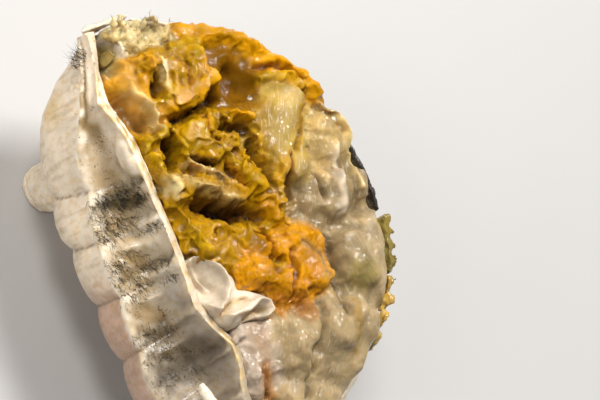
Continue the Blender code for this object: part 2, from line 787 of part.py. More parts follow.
def flesh_top(cell, x, y, inside):
    """Height of a cell's top at a point of the broken face."""
    walls = Walls.at(y)
    z = walls.high + cell.relief(x, y, inside + BORDER_CLEAR)
    if cell.finish is not SHELL:
        z -= 1.3 * math.exp(-(x - walls.left[0]) / 1.2)
    width = walls.right[0] - walls.left[0]
    drop = mix(BACK_DROP, OVERHUNG_DROP, walls.overhung)
    z -= drop * min(1.0, width / 24.0) * math.exp(-(walls.right[0] - x) / 1.5)
    return max(z, walls.low + 1.2)


def zip_columns(first, second, vertices):
    """Triangles between two columns of a wall, each a list of vertex numbers from the top down."""
    faces = []
    i = 0
    j = 0
    while i < len(first) - 1 or j < len(second) - 1:
        last = j == len(second) - 1
        if last or (i < len(first) - 1 and vertices[first[i + 1]][2] >= vertices[second[j + 1]][2]):
            faces.append((second[j], first[i], first[i + 1]))
            i += 1
        else:
            faces.append((second[j], first[i], second[j + 1]))
            j += 1
    return faces


def build_cell(cell):
    """One mass of the broken face, from its top down to the hull's inner floor."""
    points, triangles = cut_patch(cell)
    directed = {(triangle[k], triangle[(k + 1) % 3]) for triangle in triangles for k in range(3)}
    after = dict(edge for edge in sorted(directed) if (edge[1], edge[0]) not in directed)
    shares = []
    vertices = []
    for x, y, inside in points:
        walls = Walls.at(y)
        u = min(max((x - walls.left[0]) / (walls.right[0] - walls.left[0]), 0.0), 1.0)
        z = flesh_top(cell, x, y, inside)
        shares.append(u)
        vertices.append((walls.x(u, z), y, z))
    loop = [min(after)]
    while after[loop[-1]] != loop[0]:
        loop.append(after[loop[-1]])
    columns = {}
    for k, i in enumerate(loop):
        x0, y0, _inside = points[loop[k - 1]]
        x1, y1, _inside = points[loop[(k + 1) % len(loop)]]
        length = math.hypot(x1 - x0, y1 - y0)
        slope = WALL_TAPER / length
        y = points[i][1]
        walls = Walls.at(y)
        columns[i] = [i]
        z = vertices[i][2]
        for level in walls.levels(shares[i]):
            z = min(level, z - LEAST_STEP)
            deep = (walls.high - z) / (walls.high - walls.low)
            columns[i].append(len(vertices))
            x = walls.x(shares[i], z) - (y1 - y0) * slope * deep
            vertices.append((x, y + (x1 - x0) * slope * deep, z))
    faces = list(triangles)
    for a, b in after.items():
        faces += zip_columns(columns[a], columns[b], vertices)
    floor = [Vector((*vertices[columns[i][-1]][:2], 0.0)) for i in loop]
    for triangle in tessellate_polygon([floor]):
        faces.append(tuple(columns[loop[k]][-1] for k in triangle))
    return add_object(cell.name, finish_mesh(cell.name, vertices, faces), cell.finish)


# Remains of the gills and membranes along the broken back rim: name, finish, stations, half width
# along the rim, height over the rim's outline and how far the tips curl out
MEMBRANE_BASE = BACK_TOP - 0.20
MEMBRANE_DEPTH = 1.0
GILL_LEAVES = (
    ("gill_leaf", GILL, (-9.6, -11.6, -13.6, -15.6), 1.35, 0.32, 0.7),
    ("gill_tip", GILL, (-18.2, -20.4, -22.6, -24.8, -27.0), 1.0, 0.26, 0.4),
)
LEAF_STEP = 2.0
LEAF_SHOULDER = 0.10


def build_membranes():
    """The dark membrane and the gill leaves that stand along the back rim."""

    def base(_y):
        return MEMBRANE_BASE

    def dark_top(y):
        return BACK_TOP + 0.03 + 0.10 * rough(y * 0.9, 2.0, 4.0)

    def dark_relief(place, y, _v):
        return -0.25 + 0.2 * rough(y * 0.5, place * 3.0, 2.0)

    shell_plate("dark_membrane", (base, dark_top), lambda _place: -8.0, lambda _place: 3.0, (4, 9),
                MEMBRANE_DEPTH, dark_relief, DARK)
    for family, finish, centres, half, height, curl in GILL_LEAVES:
        reach = min(half, LEAF_STEP - half) if half > LEAF_STEP / 2 else half - 0.16
        for number, centre in enumerate(centres, 1):
            tall = height * (1.0 + 0.3 * rough(centre * 1.3, 1.0, 6.0))

            def tip(y, centre=centre, half=half, tall=tall):
                bow = max(1.0 - ((y - centre) / half) ** 2, 0.0)
                return MEMBRANE_BASE + LEAF_SHOULDER + tall * bow ** 0.6

            def curled(place, _y, _v, curl=curl, tall=tall):
                return -0.3 + curl * ((place - MEMBRANE_BASE) / (tall + LEAF_SHOULDER)) ** 2

            rear = centre - half + GAP / 2
            front = centre + reach
            shell_plate(f"{family}_{number}", (base, tip), lambda _place, y=rear: y,
                        lambda _place, y=front: y, (4, 4), MEMBRANE_DEPTH, curled, finish)


# Name, station, side, bulge, first and last place on the outline, and finish of each end plate
END_CAPS = (
    ("maxilliped", FRONT_Y, 1.0, 0.9, (RIM + 0.7, BACK_HIGH + 0.3), HORN),
    ("abdomen_stub", REAR_Y, -1.0, 2.2, (EDGE + 0.1, BACK_TOP - 0.3), SHELL),
)
CAP_RINGS = ((1.0, 0.0), (1.0, 0.45), (0.86, 0.8), (0.5, 0.97))
CAP_STEP = 0.5
CAP_INSET = 0.25


def build_end_caps():
    """The low domed plates that close the two ends of the hull."""
    for name, y, side, bulge, span, finish in END_CAPS:
        section = Section.at(y)
        rim = [section.point(place, CAP_INSET) for place in np.arange(*span, CAP_STEP)]
        centre = np.mean(rim, axis=0)
        vertices = []
        for scale, share in CAP_RINGS:
            for x, z in rim:
                vertices.append((mix(centre[0], x, scale), y + side * (GAP + 0.05 + bulge * share),
                                 mix(centre[1], z, scale)))
        count = len(rim)
        faces = [tuple(range(count))]
        for k in range(len(CAP_RINGS) - 1):
            for i in range(count):
                a, b = k * count + i, k * count + (i + 1) % count
                faces += [(a, b + count, b), (a, a + count, b + count)]
        faces.append(tuple(reversed(range((len(CAP_RINGS) - 1) * count, len(CAP_RINGS) * count))))
        add_object(name, finish_mesh(name, vertices, faces), finish)


def tube(path, radii, sides):
    """Vertices and faces of a closed tapered tube along a path."""
    vertices = []
    faces = []
    for k, (point, radius) in enumerate(zip(path, radii)):
        before = Vector(path[max(k - 1, 0)])
        after = Vector(path[min(k + 1, len(path) - 1)])
        turn = (after - before).to_track_quat("Z", "Y")
        for s in range(sides):
            angle = math.tau * s / sides
            vertices.append(Vector(point) + turn @ Vector((math.cos(angle), math.sin(angle), 0.0)) * radius)
    for k in range(len(path) - 1):
        for s in range(sides):
            a, b = k * sides + s, k * sides + (s + 1) % sides
            faces += [(a, b, b + sides), (a, b + sides, a + sides)]
    faces.append(tuple(reversed(range(sides))))
    faces.append(tuple(range((len(path) - 1) * sides, len(path) * sides)))
    return vertices, faces


PLEOPOD_ROOT_Y = -27.0
PLEOPOD_TIP_Y = -19.6
PLEOPOD_RADIUS = 1.0


def build_pleopod():
    """The white rod of a swimmeret's base, lying in the belly trough with its tip forward."""
    path = []
    radii = []
    steps = 7
    for k in range(steps + 1):
        t = k / steps
        y = mix(PLEOPOD_ROOT_Y, PLEOPOD_TIP_Y, t)
        lift = GAP + PLEOPOD_RADIUS + 0.25 + 1.2 * math.sin(math.pi * 0.5 * t)
        x, z = Section.at(y).point(FLOOR + 0.25, -lift)
        path.append((x, y, z))
        radii.append(PLEOPOD_RADIUS * (1.0 - 0.25 * t) * (0.5 if k == steps else 1.0))
    vertices, faces = tube(path, radii, 10)
    add_object("pleopod_stub", finish_mesh("pleopod_stub", vertices, faces), SHELL)


MOUTH_CENTRE = Vector((-3.9, 28.3, 0.0))
MOUTH_SEED = 11
MOUTH_SPIKES = 9


def fuse(name, pieces, finish):
    """One closed body from overlapping pieces, by a union on their collection."""
    group = bpy.data.collections.new(name + "_pieces")
    bpy.context.scene.collection.children.link(group)
    for number, (vertices, faces) in enumerate(pieces[1:]):
        mesh = finish_mesh(f"{name}_piece_{number}", vertices, faces)
        group.objects.link(bpy.data.objects.new(mesh.name, mesh))
    base = add_object(name, finish_mesh(name, *pieces[0]), finish)
    union = base.modifiers.new("union", "BOOLEAN")
    union.operation = "UNION"
    union.operand_type = "COLLECTION"
    union.collection = group
    union.solver = "EXACT"
    result = bpy.data.meshes.new_from_object(base.evaluated_get(bpy.context.evaluated_depsgraph_get()))
    base.modifiers.clear()
    work = bmesh.new()
    work.from_mesh(result)
    largest_body(work)
    bmesh.ops.triangulate(work, faces=work.faces)
    work.to_mesh(base.data)
    work.free()
    for piece in list(group.objects):
        bpy.data.objects.remove(piece, do_unlink=True)
    bpy.data.collections.remove(group)
    return base


def build_mouthparts():
    """The torn mouth limbs: a low pad with flat palps and bent spikes."""
    draw = random.Random(MOUTH_SEED)
    floor = face_level(MOUTH_CENTRE.y) - 0.1
    half = Vector((4.6, 2.4, 1.9))
    vertices = []
    rings = 5
    sides = 14
    for k in range(rings):
        rise = math.sin(math.pi / 2 * k / rings)
        wide = math.cos(math.pi / 2 * k / rings)
        for s in range(sides):
            angle = math.tau * s / sides
            wave = 1.0 + 0.12 * math.sin(3 * angle) + 0.08 * math.sin(5 * angle + 1.0)
            vertices.append((MOUTH_CENTRE.x + half.x * wide * wave * math.cos(angle),
                             MOUTH_CENTRE.y + half.y * wide * wave * math.sin(angle)
                             - 0.25 * half.x * wide * math.cos(angle),
                             floor + half.z * rise))
    faces = [tuple(reversed(range(sides)))]
    for k in range(rings - 1):
        for s in range(sides):
            a, b = k * sides + s, k * sides + (s + 1) % sides
            faces += [(a, b, b + sides), (a, b + sides, a + sides)]
    faces.append(tuple(range((rings - 1) * sides, rings * sides)))
    pieces = [(vertices, faces)]
    for k in range(MOUTH_SPIKES):
        along = mix(-0.8, 0.85, k / (MOUTH_SPIKES - 1))
        root = Vector((MOUTH_CENTRE.x + half.x * along,
                       MOUTH_CENTRE.y - 0.25 * half.x * along + draw.uniform(-0.6, 1.0), floor + 0.6))
        lean = Vector((draw.uniform(-0.3, 0.5), draw.uniform(0.5, 1.1), draw.uniform(0.5, 1.0)))
        length = draw.uniform(2.6, 4.2)
        width = draw.uniform(0.5, 0.95)
        bend = Vector((draw.uniform(-0.5, 0.5), 0.2, 0.1))
        path = [root + lean.normalized() * length * t + bend * t * t * 1.5 for t in (0.0, 0.35, 0.7, 1.0)]
        pieces.append(tube(path, [width, width * 0.85, width * 0.6, width * 0.2], 6))
    fuse("mouthparts", pieces, HORN)


def clear_scene():
    """Start from an empty scene."""
    for obj in list(bpy.data.objects):
        bpy.data.objects.remove(obj, do_unlink=True)


def main():
    """Build every part of the half body."""
    clear_scene()
    build_belly()
    build_back()
    build_sockets()
    for cell in CELLS:
        build_cell(cell)
    build_membranes()
    build_end_caps()
    build_pleopod()
    build_mouthparts()


main()
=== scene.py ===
"""Looks of the opened half body of a cooked mitten crab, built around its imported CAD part.

Lengths are in millimetres until a mesh is written. +Z points out of the broken face, -X to the belly
plates, +X to the back and +Y to the mouth, as in the CAD part.
"""

import json
import logging
import math
import random
from dataclasses import astuple, dataclass, fields
from enum import Enum
from typing import Callable, ClassVar, Sequence

import bmesh
import bpy
import numpy as np
from mathutils import Matrix, Vector
from mathutils.bvhtree import BVHTree
from mathutils.kdtree import KDTree

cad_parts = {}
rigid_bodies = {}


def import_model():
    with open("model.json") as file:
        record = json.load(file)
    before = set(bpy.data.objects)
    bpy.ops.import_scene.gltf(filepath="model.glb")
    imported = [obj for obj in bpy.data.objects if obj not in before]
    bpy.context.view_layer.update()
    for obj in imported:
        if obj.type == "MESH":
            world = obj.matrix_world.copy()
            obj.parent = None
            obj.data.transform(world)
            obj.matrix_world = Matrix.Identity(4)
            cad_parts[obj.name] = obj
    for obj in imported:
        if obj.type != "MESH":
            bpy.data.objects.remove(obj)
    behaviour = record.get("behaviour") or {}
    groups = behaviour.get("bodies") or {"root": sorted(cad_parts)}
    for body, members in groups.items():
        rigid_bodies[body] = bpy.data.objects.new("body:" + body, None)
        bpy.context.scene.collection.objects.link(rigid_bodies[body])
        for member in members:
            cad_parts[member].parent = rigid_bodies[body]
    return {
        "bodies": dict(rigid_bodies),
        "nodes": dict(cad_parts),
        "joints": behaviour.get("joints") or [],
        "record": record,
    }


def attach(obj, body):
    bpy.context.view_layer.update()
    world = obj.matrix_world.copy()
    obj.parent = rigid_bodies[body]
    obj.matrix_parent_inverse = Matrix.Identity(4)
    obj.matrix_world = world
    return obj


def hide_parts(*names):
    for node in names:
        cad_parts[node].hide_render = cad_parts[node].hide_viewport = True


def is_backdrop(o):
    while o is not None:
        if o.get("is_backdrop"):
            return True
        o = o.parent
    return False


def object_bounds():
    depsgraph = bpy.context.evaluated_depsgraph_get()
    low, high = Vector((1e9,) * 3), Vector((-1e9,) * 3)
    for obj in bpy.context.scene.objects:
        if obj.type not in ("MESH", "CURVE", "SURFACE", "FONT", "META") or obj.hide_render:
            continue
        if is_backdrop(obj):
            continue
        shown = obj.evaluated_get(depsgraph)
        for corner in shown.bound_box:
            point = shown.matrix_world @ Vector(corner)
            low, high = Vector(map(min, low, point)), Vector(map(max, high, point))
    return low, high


MM = 0.001
MERGE = 0.01 * MM

# Box of the solids in metres, filled in by main, and how softly in mm pieces end before its x, y and z sides
SOLIDS_BOX: list[list[float]] = []
BOX_KNEES = (0.25, 0.25, 0.9)

# Whole numbers that scramble the place of a noise cell, and the bits that are kept of the result
HASH_STEPS = (73856093, 19349663, 83492791)
HASH_SALT = 97531
HASH_MIXERS = (1274126177, 668265263)
HASH_MASK = 0x7FFFFFFF
HASH_RANGE = 0x1000000

# How far in cells a seed moves a pattern, how far in seeds each axis of a warp lies from the last one, the
# salt of the cells' middles, what brings soft noise up to about -1 to 1, and how thin the crests are
SEED_STEP = 11.7
AXIS_STEP = 7.3
CELL_SALT = 5
NOISE_GAIN = 1.9
CREST_SHARPNESS = 2.2
FAR = 1e9

log = logging.getLogger("crab_half")

Colour = tuple[float, float, float]
Point = tuple[float, float]
Place = tuple[float, float, float]

# Height, size and seed of one layer of soft noise
Layer = tuple[float, float, float]


class Tissue(Enum):
    """Kinds of stuff that show on the broken half, each with its colour. Some dark ones are laid into
    creases, pits and hollows as painted shade.
    """

    GOLD = (0.35, 0.175, 0.001)
    YELLOW = (0.40, 0.225, 0.002)
    ORANGE = (0.50, 0.225, 0.001)
    OLIVE = (0.165, 0.068, 0.0006)
    ROE = (0.47, 0.195, 0.001)
    # Darker orange-brown, laid mostly into the creases of the liver and roe as painted shade
    DEEP_ORANGE = (0.30, 0.105, 0.008)
    # Painted shade: near black, laid into the deepest creases, holes and cavities of the flesh
    BROWN = (0.065, 0.024, 0.005)
    MEAT = (0.40, 0.265, 0.055)
    PALE = (0.42, 0.29, 0.11)
    TINGED = (0.33, 0.175, 0.010)
    PEACH = (0.54, 0.27, 0.032)
    CREAM = (0.58, 0.44, 0.19)
    CHALK = (0.47, 0.375, 0.285)
    HORN = (0.42, 0.33, 0.15)
    MILK = (0.34, 0.25, 0.13)
    # Grey-brown of muscle_3; also laid into the creases between the muscles and low in the mouth cup as
    # painted shade
    SMOKE = (0.26, 0.185, 0.09)
    GREEN = (0.21, 0.16, 0.035)
    ENAMEL = (0.61, 0.51, 0.38)
    CUP = (0.28, 0.195, 0.055)
    # Painted shade deep in the hollow by the mouth cup and along a crease at the rear
    DUSKY_SHADE = (0.22, 0.105, 0.020)


@dataclass(frozen=True)
class Texture:
    """Surface texture of one tissue.

    lump and grain are heights in mm of ruffles and of granules, lobe of its rounded lobes. fibre is the
    height of its strands and clear says how much light goes into it.
    """

    lobe: float
    lump: float
    grain: float
    fibre: float
    clear: float


TEXTURES = {
    Tissue.GOLD: Texture(0.0, 0.62, 0.10, 0.0, 0.16),
    Tissue.YELLOW: Texture(0.0, 0.44, 0.08, 0.0, 0.2),
    Tissue.ORANGE: Texture(0.0, 0.30, 0.06, 0.0, 0.16),
    Tissue.OLIVE: Texture(0.1, 0.03, 0.01, 0.0, 0.3),
    Tissue.ROE: Texture(0.4, 0.30, 0.12, 0.0, 0.22),
    Tissue.DEEP_ORANGE: Texture(0.0, 0.30, 0.11, 0.0, 0.2),
    Tissue.BROWN: Texture(0.0, 0.25, 0.06, 0.0, 0.05),
    Tissue.MEAT: Texture(0.35, 0.0, 0.03, 0.02, 0.8),
    Tissue.PALE: Texture(0.32, 0.03, 0.05, 0.015, 0.7),
    Tissue.TINGED: Texture(0.3, 0.10, 0.05, 0.02, 0.4),
    Tissue.PEACH: Texture(0.1, 0.05, 0.01, 0.0, 0.4),
    Tissue.CREAM: Texture(0.1, 0.14, 0.03, 0.0, 0.35),
    Tissue.CHALK: Texture(0.25, 0.16, 0.04, 0.0, 0.35),
    Tissue.HORN: Texture(0.2, 0.22, 0.06, 0.02, 0.35),
    Tissue.MILK: Texture(0.38, 0.0, 0.03, 0.015, 0.8),
    Tissue.SMOKE: Texture(0.35, 0.04, 0.03, 0.02, 0.6),
    Tissue.GREEN: Texture(0.5, 0.0, 0.02, 0.01, 0.7),
    Tissue.ENAMEL: Texture(0.0, 0.0, 0.0, 0.0, 0.3),
    Tissue.CUP: Texture(0.2, 0.0, 0.0, 0.0, 0.3),
    Tissue.DUSKY_SHADE: Texture(0.1, 0.03, 0.01, 0.0, 0.3),
}

TEXTURE_FIELDS = tuple(field.name for field in fields(Texture))


def ease(start: float, end: float, value: np.ndarray) -> np.ndarray:
    """Smooth step from 0 at start to 1 at end."""
    t = np.clip((value - start) / (end - start), 0.0, 1.0)
    return t * t * (3.0 - 2.0 * t)


def bell(value: np.ndarray, width: float) -> np.ndarray:
    """Bell curve of height 1 round 0."""
    return np.exp(-((value / width) ** 2))


def mix(first: np.ndarray | Colour, second: np.ndarray | Colour, weight: np.ndarray) -> np.ndarray:
    """Two colours, or rows of numbers, mixed by one weight for each point."""
    share = weight[:, None]
    return np.asarray(first) * (1.0 - share) + np.asarray(second) * share


def hashed(cells: np.ndarray, salt: int) -> np.ndarray:
    """Even random numbers, always the same for the same cell and salt.

    Args:
        cells: Whole-number cells, one row each.
        salt: Number that gives another set.

    Returns:
        One number from 0 to 1 for each cell.
    """
    number = cells[:, 0] * HASH_STEPS[0] ^ cells[:, 1] * HASH_STEPS[1] ^ cells[:, 2] * HASH_STEPS[2]
    number = (number ^ (salt * HASH_SALT)) & HASH_MASK
    number = ((number ^ (number >> 15)) * HASH_MIXERS[0]) & HASH_MASK
    number = ((number ^ (number >> 12)) * HASH_MIXERS[1]) & HASH_MASK
    return ((number ^ (number >> 14)) & (HASH_RANGE - 1)) / float(HASH_RANGE)


def soft_noise(points: np.ndarray, scale: float, seed: float) -> np.ndarray:
    """Smooth noise between about -1 and 1.

    Args:
        points: Places in mm, one row each.
        scale: Size in mm of one swell of the noise.
        seed: Shift that gives another pattern.

    Returns:
        One value for each point.
    """
    moved = points / scale + seed * SEED_STEP
    cell = np.floor(moved).astype(np.int64)
    part = moved - cell
    fade = part ** 3 * (part * (part * 6.0 - 15.0) + 10.0)
    total = np.zeros(len(points))
    for corner in np.ndindex(2, 2, 2):
        corner = np.array(corner)
        spot = cell + corner
        away = part - corner
        slope = sum((hashed(spot, axis) * 2.0 - 1.0) * away[:, axis] for axis in range(3))
        total += slope * np.prod(np.where(corner, fade, 1.0 - fade), axis=1)
    return total * NOISE_GAIN


def rumple(points: np.ndarray, layers: Sequence[Layer]) -> np.ndarray:
    """Sum in mm of some layers of soft noise."""
    return sum(height * soft_noise(points, size, seed) for height, size, seed in layers)


def cells_noise(points: np.ndarray, scale: float, seed: float) -> np.ndarray:
    """Rounded cells with creases between them.

    Args:
        points: Places in mm, one row each.
        scale: Size in mm of one cell.
        seed: Shift that gives another pattern.

    Returns:
        1 on the middle of a cell and 0 in the creases between cells.
    """
    moved = points / scale + seed * SEED_STEP
    cell = np.floor(moved).astype(np.int64)
    first = np.full(len(points), FAR)
    second = np.full(len(points), FAR)
    for step in np.ndindex(3, 3, 3):
        spot = cell + np.array(step) - 1
        seeded = spot + np.stack([hashed(spot, CELL_SALT + axis) for axis in range(3)], axis=1)
        reach = np.linalg.norm(seeded - moved, axis=1)
        second = np.minimum(second, np.maximum(first, reach))
        first = np.minimum(first, reach)
    return 1.0 - (first / np.maximum(second, 1e-6)) ** 2


def crests_noise(points: np.ndarray, scale: float, seed: float) -> np.ndarray:
    """Winding ruffles: 1 along thin crests and 0 in the wide hollows between them."""
    return np.clip(1.0 - np.abs(soft_noise(points, scale, seed)) * CREST_SHARPNESS, 0.0, 1.0)


def warp(points: np.ndarray, amount: float, scale: float, seed: float) -> np.ndarray:
    """Points pushed about by smooth noise, which makes a pattern on them less even."""
    push = [soft_noise(points, scale, seed + AXIS_STEP * axis) for axis in range(3)]
    return points + amount * np.stack(push, axis=1)


def distance_to_line(points: np.ndarray, line: Sequence[Point]) -> np.ndarray:
    """Distance from a bent line over the broken face.

    Args:
        points: Places in mm, of which x and y count.
        line: The line's points in mm.

    Returns:
        One distance in mm for each point.
    """
    best = np.full(len(points), FAR)
    for start, end in zip(line, line[1:]):
        a = np.array(start)
        run = np.array(end) - a
        t = np.clip((points[:, :2] - a) @ run / (run @ run), 0.0, 1.0)
        near = a + t[:, None] * run
        best = np.minimum(best, np.linalg.norm(points[:, :2] - near, axis=1))
    return best


def read_points(obj: bpy.types.Object) -> np.ndarray:
    """The vertices of an object.

    Args:
        obj: The object.

    Returns:
        Their places in mm, one row each.
    """
    places = np.empty(len(obj.data.vertices) * 3)
    obj.data.vertices.foreach_get("co", places)
    return places.reshape(-1, 3) / MM


def read_normals(obj: bpy.types.Object) -> np.ndarray:
    """The vertex normals of an object.

    Args:
        obj: The object.

    Returns:
        The normals, one row each.
    """
    normals = np.empty(len(obj.data.vertices) * 3)
    obj.data.vertex_normals.foreach_get("vector", normals)
    return normals.reshape(-1, 3)


def write_points(obj: bpy.types.Object, points: np.ndarray) -> None:
    """Move the vertices of an object to points in mm."""
    obj.data.vertices.foreach_set("co", (points * MM).ravel())
    obj.data.update()


def write_colour(obj: bpy.types.Object, name: str, colours: np.ndarray) -> None:
    """Keep a colour for each vertex as an attribute of the mesh.

    Args:
        obj: The object.
        name: The attribute's name.
        colours: Red, green and blue, one row for each vertex.
    """
    full = np.ones((len(colours), 4))
    full[:, :3] = colours
    attribute = obj.data.attributes.new(name, "FLOAT_COLOR", "POINT")
    attribute.data.foreach_set("color", full.ravel())


def write_kind(obj: bpy.types.Object, *shares: np.ndarray | float) -> None:
    """Keep the three shares that a finish reads, each even or one for each vertex."""
    columns = [np.broadcast_to(share, len(obj.data.vertices)) for share in shares]
    write_colour(obj, "kind", np.stack(columns, axis=1))


def write_strands(obj: bpy.types.Object, places: np.ndarray) -> None:
    """Keep the coordinates in mm that the wet finish draws its strands on."""
    attribute = obj.data.attributes.new("strands", "FLOAT_VECTOR", "POINT")
    attribute.data.foreach_set("vector", (places * MM).ravel())


def spread_out(obj: bpy.types.Object, values: np.ndarray, rounds: int) -> np.ndarray:
    """Even values out over a mesh, each with those of the vertices beside it.

    Args:
        obj: The object.
        values: One row for each vertex.
        rounds: How often, and so how far, they are evened out.

    Returns:
        The new values.
    """
    edges = np.empty(len(obj.data.edges) * 2, int)
    obj.data.edges.foreach_get("vertices", edges)
    first, second = edges.reshape(-1, 2).T
    count = np.bincount(edges, minlength=len(values))[:, None]
    smooth = values.copy()
    for _round in range(rounds):
        total = np.zeros_like(smooth)
        for column in range(smooth.shape[1]):
            total[:, column] = np.bincount(first, smooth[second, column], len(values))
            total[:, column] += np.bincount(second, smooth[first, column], len(values))
        smooth = 0.5 * smooth + 0.5 * total / count
    return smooth


def hollowness(obj: bpy.types.Object, rounds: int) -> np.ndarray:
    """How far each vertex lies below its surroundings in mm, and less than 0 on a crest."""
    points = read_points(obj)
    return np.sum((spread_out(obj, points, rounds) - points) * read_normals(obj), axis=1)


@dataclass(frozen=True)
class Hollows:
    """How a piece's colour is darkened in its hollows, as painted shade.

    rounds says how wide they are, onset and full how deep in mm they are where the shade sets in and where
    it is full, and amount how dark it gets.
    """

    rounds: int
    onset: float
    full: float
    amount: float

    def shade(self, obj: bpy.types.Object) -> np.ndarray:
        """What each vertex's colour is multiplied by, one row each: 1 in the open, less in a hollow."""
        return (1.0 - self.amount * ease(self.onset, self.full, hollowness(obj, self.rounds)))[:, None]


def deselect_all() -> None:
    """Leave nothing selected, because operators act on all that is."""
    bpy.ops.object.select_all(action="DESELECT")


def make_active(obj: bpy.types.Object) -> None:
    """Select one object alone and make it the active one.

    Args:
        obj: The object.
    """
    deselect_all()
    obj.select_set(True)
    bpy.context.view_layer.objects.active = obj


def apply_modifiers(obj: bpy.types.Object) -> None:
    """Apply the modifiers of an object in their order.

    Args:
        obj: The object.
    """
    make_active(obj)
    for modifier in list(obj.modifiers):
        bpy.ops.object.modifier_apply(modifier=modifier.name)


def copy_nodes(frame: dict, nodes: Sequence[str], name: str) -> bpy.types.Object:
    """One merged copy of some CAD nodes, free of the frame.

    Args:
        nodes: Names of the nodes.
        name: Name of the new object.

    Returns:
        The new object.
    """
    deselect_all()
    copies = []
    for node in nodes:
        piece = frame["nodes"][node].copy()
        piece.data = piece.data.copy()
        piece.parent = None
        for key in list(piece.keys()):
            del piece[key]
        bpy.context.scene.collection.objects.link(piece)
        copies.append(piece)
    for piece in copies:
        piece.select_set(True)
    bpy.context.view_layer.objects.active = copies[0]
    if len(copies) > 1:
        bpy.ops.object.join()
    whole = copies[0]
    whole.name = name
    whole.data.name = name
    whole.data.materials.clear()
    bpy.ops.object.mode_set(mode="EDIT")
    bpy.ops.mesh.select_all(action="SELECT")
    bpy.ops.mesh.remove_doubles(threshold=MERGE)
    bpy.ops.object.mode_set(mode="OBJECT")
    return whole


def keep_outer_body(obj: bpy.types.Object) -> None:
    """Delete every closed surface of a mesh but the largest one.

    Args:
        obj: The object.
    """
    work = bmesh.new()
    work.from_mesh(obj.data)
    left = set(work.faces)
    bodies = []
    while left:
        stack = [left.pop()]
        body = list(stack)
        while stack:
            for edge in stack.pop().edges:
                for face in edge.link_faces:
                    if face in left:
                        left.discard(face)
                        body.append(face)
                        stack.append(face)
        bodies.append(body)
    bodies.sort(key=len)
    for body in bodies[:-1]:
        bmesh.ops.delete(work, geom=body, context="FACES")
    work.to_mesh(obj.data)
    work.free()


def close_up(obj: bpy.types.Object, swell: float, shrink: float, voxel: float, smooth: int) -> None:
    """Close the gaps between joined solids and give them an even mesh.

    Args:
        obj: The joined solids.
        swell: How far in mm they grow before they are meshed as one.
        shrink: How far in mm the result draws back.
        voxel: Size in mm of the new mesh's faces.
        smooth: Rounds of smoothing.
    """
    if swell:
        grow = obj.modifiers.new("grow", "DISPLACE")
        grow.mid_level = 0.0
        grow.strength = swell * MM
    remesh = obj.modifiers.new("remesh", "REMESH")
    remesh.mode = "VOXEL"
    remesh.voxel_size = voxel * MM
    if shrink:
        draw_back = obj.modifiers.new("draw_back", "DISPLACE")
        draw_back.mid_level = 0.0
        draw_back.strength = -shrink * MM
    if smooth:
        even_out = obj.modifiers.new("even_out", "SMOOTH")
        even_out.iterations = smooth
    apply_modifiers(obj)
    keep_outer_body(obj)


def refine(obj: bpy.types.Object, where: Callable[[np.ndarray, np.ndarray], np.ndarray]) -> None:
    """Subdivide the faces for which where(centres, normals) is true.

    Args:
        obj: The object.
        where: Test on the face centres in mm and the face normals.
    """
    mesh = obj.data
    centres = np.empty(len(mesh.polygons) * 3)
    mesh.polygons.foreach_get("center", centres)
    normals = np.empty(len(mesh.polygons) * 3)
    mesh.polygons.foreach_get("normal", normals)
    chosen = where(centres.reshape(-1, 3) / MM, normals.reshape(-1, 3))
    make_active(obj)
    mesh.vertices.foreach_set("select", np.zeros(len(mesh.vertices), bool))
    mesh.edges.foreach_set("select", np.zeros(len(mesh.edges), bool))
    mesh.polygons.foreach_set("select", chosen)
    bpy.ops.object.mode_set(mode="EDIT")
    bpy.ops.mesh.select_mode(type="FACE")
    bpy.ops.mesh.subdivide(number_cuts=1)
    bpy.ops.mesh.select_mode(type="VERT")
    bpy.ops.object.mode_set(mode="OBJECT")


def keep_inside(points: np.ndarray) -> np.ndarray:
    """Ease points that reach past the box of the solids back inside it.

    Args:
        points: Places in mm, one row each.

    Returns:
        The places, bent softly back over the last stretch before each side of the box.
    """
    low, high = (np.array(corner) / MM for corner in SOLIDS_BOX)
    kept = points.copy()
    for axis, knee in enumerate(BOX_KNEES):
        start = high[axis] - knee
        over = np.maximum(kept[:, axis] - start, 0.0)
        kept[:, axis] = np.where(over > 0.0, start + knee * np.tanh(over / knee), kept[:, axis])
        if axis < 2:
            start = low[axis] + knee
            over = np.maximum(start - kept[:, axis], 0.0)
            kept[:, axis] = np.where(over > 0.0, start - knee * np.tanh(over / knee), kept[:, axis])
    kept[:, 2] = np.maximum(kept[:, 2], 0.0)
    return kept


def finish_piece(obj: bpy.types.Object, material: bpy.types.Material,
                 nodes: Sequence[str] = ()) -> None:
    """Keep a piece inside the solids' box, and give it its material and its place in the frame.

    Args:
        obj: The piece.
        material: Its only material.
        nodes: The CAD nodes that it stands for.
    """
    write_points(obj, keep_inside(read_points(obj)))
    obj.data.materials.clear()
    obj.data.materials.append(material)
    obj.data.shade_smooth()
    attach(obj, "root")
    if nodes:
        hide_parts(*nodes)
    triangles = len(obj.data.loops) - 2 * len(obj.data.polygons)
    log.info("%s: %d triangles, stands for %d nodes", obj.name, triangles, len(nodes))


